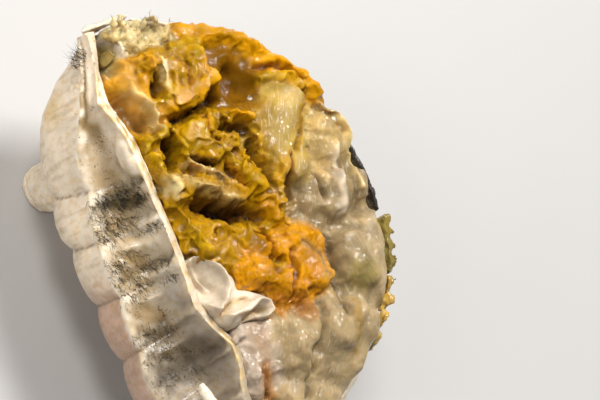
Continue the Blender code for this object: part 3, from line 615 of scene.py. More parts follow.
class NodeTree:
    """Short way to write a material's nodes."""

    # Sockets of a Mix node that mixes colours, which share their names with its other kinds
    FACTOR = 0
    FIRST = 6
    SECOND = 7
    RESULT = 2

    # How strong the finer layers of a noise are, and the stretch that most of a noise lies in
    NOISE_ROUGHNESS = 0.55
    NOISE_STRETCH = (0.3, 0.7)

    def __init__(self, name: str) -> None:
        """Start a material with its Principled shader.

        Args:
            name: The material's name.
        """
        self.material = bpy.data.materials.new(name)
        self.material.use_nodes = True
        self.nodes = self.material.node_tree.nodes
        self.links = self.material.node_tree.links
        self.shader = self.nodes["Principled BSDF"]

    def add(self, kind: str, values: dict | None = None, **settings: object) -> bpy.types.Node:
        """A node with its settings and its sockets set or linked.

        Args:
            kind: The node's type name without its ShaderNode prefix.
            values: Socket names or numbers, each with a value or a socket to link from.
            settings: Attributes of the node itself.

        Returns:
            The node.
        """
        node = self.nodes.new("ShaderNode" + kind)
        for key, value in settings.items():
            setattr(node, key, value)
        for key, value in (values or {}).items():
            self.put(node, key, value)
        return node

    def put(self, node: bpy.types.Node, key: object, value: object) -> None:
        """Set one socket of a node, or link it.

        Args:
            node: The node.
            key: The socket's name or number.
            value: A value, a colour of three numbers or a socket to link from.
        """
        socket = node.inputs[key]
        if isinstance(value, bpy.types.NodeSocket):
            self.links.new(value, socket)
        elif socket.type == "RGBA":
            socket.default_value = (*value, 1.0)
        else:
            socket.default_value = value

    def attribute(self, name: str) -> bpy.types.Node:
        """A colour or vector kept on the mesh."""
        return self.add("Attribute", attribute_name=name)

    def kinds(self) -> tuple[bpy.types.NodeSocket, ...]:
        """The three shares that write_kind kept on the mesh."""
        return tuple(self.add("SeparateColor", {0: self.attribute("kind").outputs["Color"]}).outputs)

    def place(self) -> bpy.types.NodeSocket:
        """Object coordinates."""
        return self.add("TexCoord").outputs["Object"]

    def noise(self, size: float, detail: float, vector: object = None) -> bpy.types.NodeSocket:
        """Noise between 0 and 1.

        Args:
            size: Size in mm of its swells.
            detail: How many finer layers it has.
            vector: Coordinates other than the object's own.

        Returns:
            The noise.
        """
        place = vector if vector is not None else self.place()
        node = self.add("TexNoise", {"Vector": place, "Scale": 1.0 / (size * MM), "Detail": detail,
                                     "Roughness": self.NOISE_ROUGHNESS})
        return node.outputs["Fac"]

    def spread(self, value: object, low: float, high: float, to_low: float = 0.0,
               to_high: float = 1.0) -> bpy.types.NodeSocket:
        """A value's range spread smoothly over another range.

        Args:
            value: The value.
            low: Where its range starts.
            high: Where its range ends.
            to_low: The result at low.
            to_high: The result at high.

        Returns:
            The result.
        """
        node = self.add("MapRange", {"Value": value, "From Min": low, "From Max": high,
                                     "To Min": to_low, "To Max": to_high},
                        interpolation_type="SMOOTHSTEP")
        return node.outputs["Result"]

    def math(self, operation: str, first: object, second: object) -> bpy.types.NodeSocket:
        """A Math node's result."""
        return self.add("Math", {0: first, 1: second}, operation=operation).outputs[0]

    def grey(self, value: object) -> bpy.types.NodeSocket:
        """A value as a grey colour."""
        return self.add("CombineColor", {0: value, 1: value, 2: value}).outputs[0]

    def blend(self, factor: object, first: object, second: object,
              kind: str = "MIX") -> bpy.types.NodeSocket:
        """Two colours mixed.

        Args:
            factor: How much of the second one shows.
            first: The first colour.
            second: The second colour.
            kind: The Mix node's blend type.

        Returns:
            The mixed colour.
        """
        node = self.add("Mix", data_type="RGBA", blend_type=kind)
        self.put(node, self.FACTOR, factor)
        self.put(node, self.FIRST, first)
        self.put(node, self.SECOND, second)
        return node.outputs[self.RESULT]

    def times(self, first: object, second: object) -> bpy.types.NodeSocket:
        """Two colours multiplied."""
        return self.blend(1.0, first, second, "MULTIPLY")

    def shaded(self, colour: object, noise: object, shades: Point) -> bpy.types.NodeSocket:
        """A colour made between a dark and a light shade by a noise."""
        return self.times(colour, self.grey(self.spread(noise, *self.NOISE_STRETCH, *shades)))

    def bump(self, height: object, distance: float, strength: float = 1.0,
             normal: object = None) -> bpy.types.NodeSocket:
        """A bump.

        Args:
            height: Its height between 0 and 1.
            distance: Height in mm at 1.
            strength: How much of it shows.
            normal: The normal of a bump below it.

        Returns:
            The bumped normal.
        """
        node = self.add("Bump", {"Height": height, "Distance": distance * MM, "Strength": strength})
        if normal is not None:
            self.put(node, "Normal", normal)
        return node.outputs["Normal"]

    def set(self, **values: object) -> None:
        """Set or link the shader's sockets, with _ for a space in their names."""
        for key, value in values.items():
            self.put(self.shader, key.replace("_", " "), value)


@dataclass(frozen=True)
class WetFinish:
    """Wet cooked tissue: colour and kind come from the mesh, with painted shade in the granules' low spots,
    pale streaks on the strands that are partly painted highlight, and a wet coat.

    Sizes are in mm: cloud of the broad shades, pore of the granules, whose low spots get painted shade,
    strand of the strands' width, wet of the places with a full coat and glint of the small swells there that
    mirror the lamps. Each onset is the stretch of a noise over which that feature sets in.
    """

    name: str
    coat: float = 1.0
    dry_coat: float = 0.2
    coat_rough: float = 0.03
    rough: float = 0.5
    specular: float = 0.12
    ior: float = 1.42
    cloud: float = 3.2
    shades: Point = (0.74, 1.22)
    pore: float = 0.42
    pore_onset: Point = (0.46, 0.33)
    pore_shade: Colour = (0.55, 0.42, 0.30)
    strand: float = 0.30
    strand_onset: Point = (0.56, 0.70)
    strand_pale_and_highlight: Colour = (0.88, 0.80, 0.62)
    strand_share: float = 0.55
    relief: float = 0.20
    wet: float = 3.0
    wet_onset: Point = (0.40, 0.58)
    glint: float = 0.62
    glint_relief: float = 0.38
    depth: float = 1.5
    scatter: Colour = (1.0, 0.6, 0.3)

    def build(self) -> bpy.types.Material:
        """Make the material.

        Returns:
            The material.
        """
        tree = NodeTree(self.name)
        tint = tree.attribute("tint").outputs["Color"]
        fibre, grain, clear = tree.kinds()
        body = tree.shaded(tint, tree.noise(self.cloud, 4.0), self.shades)
        strands = tree.noise(self.strand, 3.0, tree.attribute("strands").outputs["Vector"])
        # Pale streaks on the crests of the strands: partly the strands' own paler tone, partly painted
        # highlight
        pale_streak_and_highlight = tree.math("MULTIPLY", tree.spread(strands, *self.strand_onset), fibre)
        colour = tree.blend(pale_streak_and_highlight, body, tree.blend(self.strand_share, body, self.strand_pale_and_highlight))
        fine = tree.noise(self.pore, 4.0)
        # Painted shade in the low spots of the granules' bump
        pore_shading = tree.math("MULTIPLY", tree.spread(fine, *self.pore_onset), grain)
        colour = tree.blend(pore_shading, colour, tree.times(colour, self.pore_shade))
        height = tree.math("ADD", tree.math("MULTIPLY", fine, grain),
                           tree.math("MULTIPLY", strands, fibre))
        normal = tree.bump(height, self.relief)
        wet = tree.spread(tree.noise(self.wet, 2.0), *self.wet_onset, self.dry_coat)
        swells = tree.math("MULTIPLY", tree.noise(self.glint, 1.5), wet)
        tree.set(Base_Color=colour, Roughness=self.rough, Normal=normal, IOR=self.ior,
                 Specular_IOR_Level=self.specular, Subsurface_Weight=clear,
                 Subsurface_Radius=self.scatter, Subsurface_Scale=self.depth * MM,
                 Coat_Weight=tree.math("MULTIPLY", wet, self.coat), Coat_Roughness=self.coat_rough,
                 Coat_Normal=tree.bump(swells, self.glint_relief, normal=normal))
        return tree.material


@dataclass(frozen=True)
class ShellFinish:
    """Cooked shell: colour and kind come from the mesh, with mottling, pits and a satin surface.

    Sizes are in mm: cloud and mottle of the broad and the small shades, pit of the distance between pits,
    bare of the places without pits and grit of the dirt in rugged places. Each onset is the stretch of a
    noise over which that feature sets in, and each strength is a bump's.
    """

    name: str
    coat: float = 0.25
    coat_rough: float = 0.16
    rough: Point = (0.32, 0.50)
    ior: float = 1.5
    cloud: float = 5.0
    shades: Point = (0.88, 1.08)
    mottle: float = 0.9
    mottle_onset: Point = (0.45, 0.68)
    mottle_tone: Colour = (0.93, 0.84, 0.68)
    mottle_height: float = 0.5
    pit: float = 0.75
    pit_onset: Point = (0.16, 0.08)
    pit_tone: Colour = (0.12, 0.08, 0.05)
    bare: float = 1.6
    bare_onset: Point = (0.50, 0.56)
    grit: float = 0.30
    grit_onset: Point = (0.52, 0.66)
    grit_tone: Colour = (0.40, 0.32, 0.22)
    relief: float = 0.10
    relief_strength: float = 0.6
    grit_relief: float = 0.05
    grit_strength: float = 0.5
    depth: float = 0.8
    scatter: Colour = (1.0, 0.7, 0.45)

    def build(self) -> bpy.types.Material:
        """Make the material.

        Returns:
            The material.
        """
        tree = NodeTree(self.name)
        tint = tree.attribute("tint").outputs["Color"]
        pitted, rugged, clear = tree.kinds()
        body = tree.shaded(tint, tree.noise(self.cloud, 5.0), self.shades)
        mottle = tree.noise(self.mottle, 4.0)
        mottled = tree.spread(mottle, *self.mottle_onset)
        body = tree.blend(mottled, body, tree.times(body, self.mottle_tone))
        dots = tree.add("TexVoronoi", {"Vector": tree.place(), "Scale": 1.0 / (self.pit * MM),
                                       "Randomness": 1.0})
        dot = tree.math("MULTIPLY", tree.spread(dots.outputs["Distance"], *self.pit_onset), pitted)
        dot = tree.math("MULTIPLY", dot, tree.spread(tree.noise(self.bare, 1.0), *self.bare_onset))
        body = tree.blend(dot, body, self.pit_tone)
        grit = tree.noise(self.grit, 3.0)
        dirt = tree.math("MULTIPLY", tree.spread(grit, *self.grit_onset), rugged)
        body = tree.blend(dirt, body, tree.times(body, self.grit_tone))
        height = tree.math("SUBTRACT", tree.math("MULTIPLY", mottle, self.mottle_height), dot)
        normal = tree.bump(height, self.relief, self.relief_strength)
        normal = tree.bump(grit, self.grit_relief, self.grit_strength, normal)
        rough = tree.spread(mottle, *tree.NOISE_STRETCH, *self.rough)
        tree.set(Base_Color=body, Roughness=rough, Normal=normal, IOR=self.ior,
                 Subsurface_Weight=clear, Subsurface_Radius=self.scatter,
                 Subsurface_Scale=self.depth * MM, Coat_Weight=self.coat,
                 Coat_Roughness=self.coat_rough, Coat_Normal=normal)
        return tree.material


@dataclass(frozen=True)
class BristleFinish:
    """Horny bristles that run from a dark to a light tone in patches some mm across."""

    name: str
    dark: Colour = (0.035, 0.026, 0.015)
    light: Colour = (0.20, 0.15, 0.06)
    patch: float = 1.4
    onset: Point = (0.42, 0.62)
    rough: float = 0.45

    def build(self) -> bpy.types.Material:
        """Make the material.

        Returns:
            The material.
        """
        tree = NodeTree(self.name)
        lightness = tree.spread(tree.noise(self.patch, 2.0), *self.onset)
        tree.set(Base_Color=tree.blend(lightness, self.dark, self.light), Roughness=self.rough)
        return tree.material


@dataclass(frozen=True)
class FloorFinish:
    """Pale matt floor with very faint clouds some mm across."""

    name: str = "pale_floor"
    colour: Colour = (0.49, 0.475, 0.455)
    cloud: float = 40.0
    shades: Point = (0.985, 1.0)
    rough: float = 0.7

    def build(self) -> bpy.types.Material:
        """Make the material.

        Returns:
            The material.
        """
        tree = NodeTree(self.name)
        clouded = tree.shaded(self.colour, tree.noise(self.cloud, 2.0), self.shades)
        tree.set(Base_Color=clouded, Roughness=self.rough)
        return tree.material


@dataclass(frozen=True)
class Fold:
    """A ridge along a line over the broken face, or a crease where height is less than 0."""

    line: tuple[Point, ...]
    width: float
    height: float
    tissue: Tissue | None = None
    paint: float = 1.0

    def profile(self, points: np.ndarray) -> np.ndarray:
        """1 on the line, falling to 0 about two widths from it."""
        return bell(distance_to_line(points, self.line), self.width)


@dataclass(frozen=True)
class Lump:
    """A round swelling of the broken face, or a pit where height is less than 0.

    Its side falls between two shares of its half widths, brow and foot.
    """

    centre: Point
    half: Point
    turn: float
    height: float
    tissue: Tissue | None = None
    paint: float = 1.0
    brow: ClassVar[float] = 0.45
    foot: ClassVar[float] = 1.15

    def profile(self, points: np.ndarray) -> np.ndarray:
        """The lump's own shape, before its height.

        Args:
            points: Places in mm, one row each.

        Returns:
            1 over the middle, falling to 0 at the foot.
        """
        turn = math.radians(self.turn)
        dx = points[:, 0] - self.centre[0]
        dy = points[:, 1] - self.centre[1]
        u = (dx * math.cos(turn) + dy * math.sin(turn)) / self.half[0]
        v = (dy * math.cos(turn) - dx * math.sin(turn)) / self.half[1]
        return 1.0 - ease(self.brow, self.foot, np.hypot(u, v))


NODE_TISSUES = {
    "liver_front": Tissue.GOLD,
    "liver_rim": Tissue.ORANGE,
    "liver_side": Tissue.GOLD,
    "liver_middle": Tissue.GOLD,
    "liver_fold": Tissue.GOLD,
    "liver_low": Tissue.GOLD,
    "liver_strand": Tissue.GOLD,
    "bile_sac": Tissue.OLIVE,
    "roe": Tissue.ROE,
    "peach_pocket": Tissue.PEACH,
    "mouth_base": Tissue.HORN,
    "muscle_1": Tissue.MEAT,
    "muscle_2": Tissue.PALE,
    "muscle_3": Tissue.SMOKE,
    "muscle_4": Tissue.MILK,
    "muscle_5": Tissue.MILK,
    "muscle_6": Tissue.MILK,
    "muscle_edge": Tissue.CHALK,
}

# Way the strands run in each muscle and in all else, in degrees from +X
STRAND_TURNS = {"muscle_1": 62.0, "muscle_2": 95.0, "muscle_3": 70.0, "muscle_4": 100.0,
                "muscle_5": 60.0, "muscle_6": 40.0}
OTHER_TURN = 70.0

# Most creases and pits, the forms below 0, are painted a darker tone as shade.
FLESH_FORMS: tuple[Fold | Lump, ...] = (
    # The front of the liver, its ruffles and the thick lobe beside the sac
    Lump((-3.4, 21.6), (3.4, 3.6), 20.0, 0.5, None),
    Fold(((-6.9, 18.0), (-4.8, 18.3), (-1.5, 18.9), (1.8, 20.4)), 1.15, 1.7, Tissue.ORANGE, 0.8),
    Fold(((-6.4, 16.6), (-3.4, 16.7), (-0.6, 17.1), (1.4, 17.6)), 0.55, -2.3, Tissue.BROWN, 0.9),
    Fold(((-4.7, 25.3), (-5.4, 23.3), (-5.8, 21.2)), 0.42, 0.8, Tissue.CREAM),
    Fold(((-6.4, 23.0), (-6.9, 21.4)), 0.5, -1.5, Tissue.BROWN, 0.8),
    Fold(((-1.2, 26.2), (0.8, 26.6), (2.2, 26.0), (1.0, 24.0)), 0.7, 1.0, Tissue.YELLOW),
    Fold(((-7.6, 26.8), (-6.2, 26.2), (-5.9, 25.0), (-7.9, 23.8), (-8.2, 21.6)), 0.6, 1.2, Tissue.ORANGE),
    Fold(((-8.6, 19.8), (-6.8, 19.9), (-5.1, 20.2)), 0.45, 0.7, Tissue.YELLOW),
    Fold(((-2.6, 24.4), (-1.6, 22.2), (-2.4, 20.4)), 0.5, -1.1, Tissue.DEEP_ORANGE, 0.6),
    Fold(((1.9, 23.6), (1.3, 21.6), (1.9, 19.4)), 0.75, 1.0, Tissue.ORANGE),
    # The smooth hollow between the mouth cup and the liver, orange above and with painted shade in its lower
    # part
    Lump((-11.0, 19.9), (1.9, 3.8), 12.0, -2.6, None),
    Lump((-10.9, 18.8), (1.7, 2.8), 12.0, -0.4, Tissue.DUSKY_SHADE, 0.9),
    Lump((-12.4, 24.4), (1.7, 1.6), 0.0, 0.5, Tissue.ORANGE, 0.55),
    Fold(((-9.7, 22.8), (-9.0, 20.6), (-8.6, 18.6), (-9.2, 16.4)), 0.5, 1.0, Tissue.CREAM, 0.7),
    Fold(((-14.0, 22.6), (-12.4, 22.2), (-10.4, 22.4)), 0.35, 0.4, Tissue.CREAM, 0.4),
    # The hollow of the mouth cup, with painted shade low in it, and its bright rolled rim
    Lump((-10.9, 28.4), (2.1, 3.2), -8.0, -1.5, Tissue.CUP),
    Lump((-11.3, 26.4), (1.2, 1.3), -8.0, -0.5, Tissue.SMOKE, 0.5),
    Fold(((-12.2, 31.2), (-10.5, 31.2), (-9.0, 30.4), (-8.3, 29.2), (-8.2, 27.8)), 0.34, 1.3, Tissue.ENAMEL),
    # The flap, and the hole by the belly edge painted dark as shade
    Fold(((-12.9, 14.0), (-10.9, 15.2), (-9.2, 15.7), (-7.4, 16.2)), 0.62, 1.7, Tissue.YELLOW),
    Fold(((-11.4, 13.2), (-10.9, 11.4), (-10.8, 9.6)), 0.55, 1.0, Tissue.YELLOW, 0.7),
    Lump((-8.7, 13.0), (1.35, 2.9), -22.0, -4.6, Tissue.BROWN),
    # The middle of the liver
    Lump((-4.3, 14.0), (2.9, 2.7), 20.0, 1.1, Tissue.YELLOW, 0.45),
    Fold(((-6.9, 13.6), (-6.9, 11.6), (-7.4, 10.6)), 0.5, 0.9, Tissue.YELLOW),
    Fold(((-2.2, 15.6), (-2.6, 13.2), (-1.6, 11.6)), 0.4, -1.0, Tissue.DEEP_ORANGE, 0.6),
    Fold(((-7.6, 10.4), (-6.2, 9.7), (-4.2, 8.2), (-2.4, 6.8)), 0.42, 1.2, Tissue.PALE),
    Fold(((-6.6, 11.2), (-4.8, 10.0), (-3.2, 8.8)), 0.42, -1.9, Tissue.BROWN, 0.9),
    Fold(((-2.9, 11.6), (0.0, 8.8), (0.9, 6.0), (2.2, 3.2)), 0.75, 1.3, Tissue.YELLOW, 0.5),
    Fold(((0.7, 11.2), (2.0, 7.6), (2.3, 4.6)), 0.55, 1.1, Tissue.GOLD),
    Fold(((-0.9, 9.6), (-0.8, 7.4), (0.0, 4.6)), 0.42, -1.1, Tissue.DEEP_ORANGE, 0.6),
    Fold(((3.7, 9.6), (3.6, 6.9), (4.1, 3.8)), 0.5, -2.3, Tissue.BROWN, 0.9),
    Fold(((1.4, 15.0), (3.1, 14.3), (5.0, 13.2)), 0.62, 1.6, Tissue.ORANGE),
    Fold(((0.2, 13.0), (2.4, 12.3), (4.4, 11.4)), 0.6, -2.0, Tissue.BROWN, 0.8),
    # The pale fold across the liver with its torn end, and the cavity below it painted dark as shade
    Fold(((-10.8, 9.6), (-9.3, 8.8), (-7.6, 7.2), (-6.2, 6.2), (-4.8, 5.2), (-3.2, 4.2), (-2.0, 2.9)),
         0.8, 1.6, Tissue.CREAM, 0.5),
    Lump((-11.0, 8.2), (1.1, 1.8), 0.0, 1.3, Tissue.CREAM),
    Fold(((-7.4, 4.6), (-5.4, 3.2), (-3.4, 1.6)), 1.3, -3.4, Tissue.BROWN, 0.9),
    Fold(((-4.0, 2.6), (-1.6, 1.4), (0.6, 0.0)), 1.15, -3.8, Tissue.BROWN),
    # The lower liver and the roe
    Fold(((-10.6, 3.4), (-10.2, 0.6), (-9.4, -1.6)), 0.6, 0.9, Tissue.YELLOW),
    Lump((-2.2, -3.4), (1.7, 2.1), 20.0, 0.9, Tissue.OLIVE, 0.75),
    Fold(((-0.2, -2.0), (0.0, -4.6), (-1.4, -6.0)), 0.4, -1.4, Tissue.DEEP_ORANGE, 0.8),
    Fold(((2.0, 1.4), (2.6, -1.3), (4.2, -4.0)), 1.2, 0.9, Tissue.ROE, 0.7),
    Fold(((-6.0, -6.9), (-3.1, -8.4), (-1.2, -10.4)), 1.5, 0.8, Tissue.ROE),
    Lump((4.6, -9.4), (2.1, 1.6), 20.0, 0.6, Tissue.ROE),
    Lump((-0.4, -7.4), (1.6, 1.3), 0.0, -0.9, Tissue.GOLD, 0.9),
    Fold(((2.2, -6.0), (1.2, -9.4), (-0.4, -12.0)), 0.45, -1.3, Tissue.DEEP_ORANGE, 0.8),
    Fold(((4.4, -6.0), (6.2, -8.4), (5.8, -11.6)), 0.6, -0.8, Tissue.SMOKE, 0.7),
    Fold(((-2.4, -11.9), (0.8, -13.2)), 1.4, -0.7, Tissue.DEEP_ORANGE, 0.9),
    # The sac and the golden rim round it
    Lump((5.9, 18.3), (2.6, 3.9), 20.0, -1.3, Tissue.OLIVE),
    Fold(((9.4, 17.6), (12.0, 17.3), (14.3, 16.3), (15.4, 14.4)), 0.75, 1.2, Tissue.YELLOW, 0.8),
    Fold(((10.2, 19.4), (13.4, 18.4), (16.0, 15.8)), 0.5, -1.3, Tissue.DEEP_ORANGE, 0.8),
    Fold(((3.4, 26.0), (7.5, 25.4), (11.6, 22.8), (15.6, 18.6), (18.4, 13.4)), 0.9, 0.6, Tissue.ORANGE),
    # The muscles and the skins between them, with painted shade in the creases between them
    Fold(((12.2, 13.0), (9.3, 10.2), (7.3, 7.4), (6.2, 5.2)), 1.9, 1.5, Tissue.MEAT, 0.9),
    Fold(((7.9, 14.2), (5.9, 11.6), (4.9, 8.4), (4.9, 5.4)), 1.0, 0.3, Tissue.TINGED, 0.75),
    Fold(((15.6, 13.2), (12.7, 10.6), (10.9, 8.3), (9.7, 6.5)), 0.65, -1.5, Tissue.TINGED),
    Fold(((15.2, 13.6), (12.4, 11.2), (10.6, 9.0)), 0.5, 0.6, Tissue.GOLD, 0.8),
    Fold(((5.2, 12.6), (4.4, 9.4), (4.4, 6.4)), 0.7, 0.5, Tissue.GOLD, 0.8),
    Fold(((6.6, 5.6), (5.4, 4.0), (4.4, 2.0)), 0.9, 0.9, Tissue.GOLD, 0.9),
    Fold(((8.1, 6.2), (7.0, 3.6), (6.2, 0.8)), 0.4, -1.6, Tissue.DEEP_ORANGE, 0.8),
    Lump((16.2, 8.4), (2.4, 2.2), 0.0, 0.8, Tissue.PALE, 0.5),
    Lump((13.4, 7.8), (1.9, 2.8), 0.0, 0.6, Tissue.PALE, 0.5),
    Lump((14.6, 4.9), (2.0, 1.7), 0.0, 0.4, Tissue.PALE, 0.5),
    Fold(((17.7, 10.7), (19.4, 9.2), (20.0, 6.6), (20.1, 4.0)), 0.5, 0.9, Tissue.CREAM, 0.85),
    Fold(((16.4, 11.0), (18.2, 8.9), (18.9, 6.0)), 0.45, -0.7, Tissue.TINGED, 0.7),
    Lump((9.6, 2.6), (2.1, 2.8), 20.0, 0.8, Tissue.SMOKE, 0.35),
    Lump((12.3, 1.8), (1.3, 2.3), 0.0, 0.5, Tissue.PALE, 0.7),
    Fold(((11.2, 4.4), (10.9, 1.6), (10.8, -1.6)), 0.35, -0.9, Tissue.SMOKE, 0.6),
    Fold(((16.0, 4.4), (15.0, 1.6), (13.9, -1.2), (12.8, -4.4)), 0.75, 1.1, Tissue.ENAMEL, 0.6),
    Fold(((17.2, 0.4), (16.5, -2.5), (15.6, -5.4)), 0.9, -1.1, Tissue.SMOKE),
    Fold(((18.6, 2.6), (18.0, 0.2), (17.6, -2.2)), 0.4, 0.8, Tissue.CREAM, 0.6),
    Fold(((7.0, -2.2), (9.6, -4.0), (12.0, -6.0), (14.6, -7.2)), 1.0, -1.0, Tissue.SMOKE, 0.85),
    Lump((11.8, -9.6), (2.9, 3.2), 12.0, 1.5, Tissue.MILK),
    Lump((11.4, -13.6), (3.0, 2.9), 12.0, 1.0, Tissue.GREEN, 0.7),
    Fold(((8.9, -7.0), (8.3, -10.4), (7.4, -14.0), (6.4, -17.4)), 0.8, -1.2, Tissue.SMOKE, 0.8),
    Lump((5.8, -12.6), (1.9, 2.6), 20.0, 0.6, Tissue.TINGED, 0.35),
    Lump((0.8, -14.8), (2.2, 2.2), 0.0, 0.4, Tissue.DEEP_ORANGE, 0.6),
    Lump((-2.2, -18.4), (2.0, 2.8), 10.0, 0.8, Tissue.MILK, 0.9),
    Fold(((3.4, -14.6), (1.6, -18.4), (-1.4, -22.4), (-3.4, -26.0)), 0.6, -1.2, Tissue.SMOKE, 0.7),
    Lump((4.6, -19.4), (2.3, 3.8), 20.0, 1.0, Tissue.MILK),
    Fold(((8.6, -16.4), (7.6, -19.2), (5.8, -23.0)), 0.7, 0.4, Tissue.TINGED, 0.5),
    Fold(((-7.2, -14.4), (-7.6, -18.2), (-8.2, -21.4), (-9.0, -25.6)), 1.7, -0.6, Tissue.DUSKY_SHADE, 0.55),
    Fold(((-7.9, -19.6), (-8.2, -22.0), (-9.2, -26.0)), 0.8, -0.8, Tissue.DEEP_ORANGE, 0.7),
    Fold(((-10.2, -12.6), (-11.0, -15.4), (-11.0, -18.6), (-12.4, -22.4)), 1.0, 0.8, Tissue.CHALK),
    Lump((-10.6, -14.2), (1.0, 0.9), 0.0, 0.9, Tissue.CHALK),
    Lump((-11.4, -17.6), (0.9, 1.1), 0.0, 1.0, Tissue.CHALK),
    Lump((-9.9, -19.8), (0.9, 1.2), 0.0, 0.8, Tissue.CHALK),
)


@dataclass(frozen=True)
class Relief:
    """One layer of a tissue's relief, whose height is a multiple of one number of the tissue's texture.

    look names that number. The pattern has a size in mm and a seed, middle is its value that stays level,
    and bend says how it is warped, as for warp.
    """

    look: str
    pattern: Callable[[np.ndarray, float, float], np.ndarray]
    size: float
    seed: float
    height: float
    middle: float = 0.0
    bend: tuple[float, float, float] | None = None


RUFFLED = (0.9, 2.2, 3.0)

RELIEFS = (
    Relief("lump", crests_noise, 3.4, 1.0, 1.3, 0.45, RUFFLED),
    Relief("lump", crests_noise, 1.7, 6.0, 0.7, 0.45, RUFFLED),
    Relief("lobe", soft_noise, 5.2, 4.0, 1.2),
    Relief("lobe", cells_noise, 5.0, 4.0, 0.5, 0.6, (1.0, 3.0, 4.0)),
    Relief("grain", cells_noise, 1.0, 3.0, 1.5, 0.5, RUFFLED),
    Relief("grain", cells_noise, 0.6, 2.0, 0.6, 0.5),
)


@dataclass
class Sculptor:
    """Shapes and paints a meshed copy of the CAD solids from forms and tissues.

    Between the heights low and high, in mm, the forms set in. floor and ceiling bound their sum, and leans
    says how they lean along x and y. ragged is how far in mm the borders of the tissues wander, near how
    many CAD vertices have a say at a point, blur how softly in mm, and soften how many rounds spread them
    out. A stretch is what a mm along the strands and a mm upwards count in a pattern of strands.
    """

    frame: dict
    tissues: dict[str, Tissue]
    forms: tuple[Fold | Lump, ...]
    low: float = 25.4
    high: float = 28.0
    seed: float = 3.0
    floor: float = -4.6
    ceiling: float = 2.6
    leans: tuple[Layer, Layer] = ((0.22, 2.4, 5.0), (0.22, 2.4, 9.0))
    near: int = 8
    blur: float = 0.15
    ragged: float = 0.9
    border_size: float = 1.6
    form_size: float = 1.8
    paint_bend: Point = (0.35, 1.1)
    soften: int = 8
    uneven: Layer = (0.12, 3.0, 8.0)
    strand_size: float = 0.55
    strand_height: float = 1.3
    strand_stretch: Point = (0.14, 0.3)
    paint_stretch: Point = (0.16, 0.35)
    fine_rounds: int = 12
    wide_rounds: int = 60
    crest_light: float = 0.10
    crest_onset: Point = (0.02, 0.30)
    hollow_shade: float = 0.45
    hollow_onset: Point = (0.02, 0.35)
    cavity_onset: Point = (0.15, 1.1)
    clear_share: float = 0.75
    shade_powers: Colour = (1.0, 1.25, 1.6)
    fibre_gain: float = 20.0
    grain_gain: float = 4.0
    known: np.ndarray | None = None

    def node_cloud(self) -> tuple[KDTree, list[str]]:
        """The vertices of the CAD nodes.

        Returns:
            A tree of their places in metres, and the node of each.
        """
        places: list[Vector] = []
        owners: list[str] = []
        for node in self.tissues:
            for vertex in self.frame["nodes"][node].data.vertices:
                places.append(vertex.co.copy())
                owners.append(node)
        tree = KDTree(len(places))
        for index, place in enumerate(places):
            tree.insert(place, index)
        tree.balance()
        return tree, owners

    def shares(self, points: np.ndarray) -> np.ndarray:
        """How much of each node's tissue shows at each point.

        Args:
            points: Places in mm.

        Returns:
            One column of shares for each node.
        """
        tree, owners = self.node_cloud()
        names = list(self.tissues)
        column = {name: index for index, name in enumerate(names)}
        asked = warp(points, self.ragged, self.border_size, self.seed)
        shares = np.zeros((len(points), len(names)))
        for row, place in enumerate((asked * MM).tolist()):
            for _co, index, distance in tree.find_n(place, self.near):
                shares[row, column[owners[index]]] += 1.0 / (distance / MM + self.blur) ** 3
        return shares / shares.sum(axis=1)[:, None]

    def blend(self, points: np.ndarray) -> tuple[np.ndarray, np.ndarray, np.ndarray]:
        """Colour, texture and strand direction at each point.

        Args:
            points: Places in mm.

        Returns:
            Colours, textures in the order of TEXTURE_FIELDS, and turns in radians.
        """
        names = list(self.tissues)
        colour = self.known @ np.array([self.tissues[name].value for name in names])
        texture = self.known @ np.array([self.numbers(self.tissues[name]) for name in names])
        turns = np.radians([STRAND_TURNS.get(name, OTHER_TURN) for name in names])
        bent = warp(points, *self.paint_bend, self.seed + 2.0)
        for form in self.forms:
            if form.tissue is None:
                continue
            weight = form.profile(bent) * form.paint
            colour = mix(colour, form.tissue.value, weight)
            texture = mix(texture, self.numbers(form.tissue), weight)
        return colour, texture, turns[np.argmax(self.known, axis=1)]

    @staticmethod
    def numbers(tissue: Tissue) -> np.ndarray:
        """The texture of a tissue as numbers."""
        return np.array(astuple(TEXTURES[tissue]))

    @staticmethod
    def along_strands(points: np.ndarray, turn: np.ndarray, stretch: Point) -> np.ndarray:
        """Places drawn out along the strands, so that a pattern on them makes strands.

        Args:
            points: Places in mm.
            turn: Which way the strands run at each, in radians.
            stretch: What a mm along them and a mm upwards count.

        Returns:
            The drawn out places.
        """
        along = np.cos(turn) * points[:, 0] + np.sin(turn) * points[:, 1]
        across = np.cos(turn) * points[:, 1] - np.sin(turn) * points[:, 0]
        return np.stack((along * stretch[0], across, points[:, 2] * stretch[1]), axis=1)

    def relief(self, points: np.ndarray) -> np.ndarray:
        """Height of the ruffles, lobes, granules and strands.

        Args:
            points: Places in mm.

        Returns:
            One height in mm for each point.
        """
        _colour, texture, turn = self.blend(points)
        looks = dict(zip(TEXTURE_FIELDS, texture.T))
        places = {None: points}
        lift = rumple(points, (self.uneven,))
        for layer in RELIEFS:
            if layer.bend not in places:
                places[layer.bend] = warp(points, *layer.bend)
            pattern = layer.pattern(places[layer.bend], layer.size, layer.seed)
            lift += looks[layer.look] * layer.height * (pattern - layer.middle)
        drawn_out = self.along_strands(points, turn, self.strand_stretch)
        strands = soft_noise(drawn_out, self.strand_size, self.seed + 1.0)
        return lift + looks["fibre"] * self.strand_height * strands

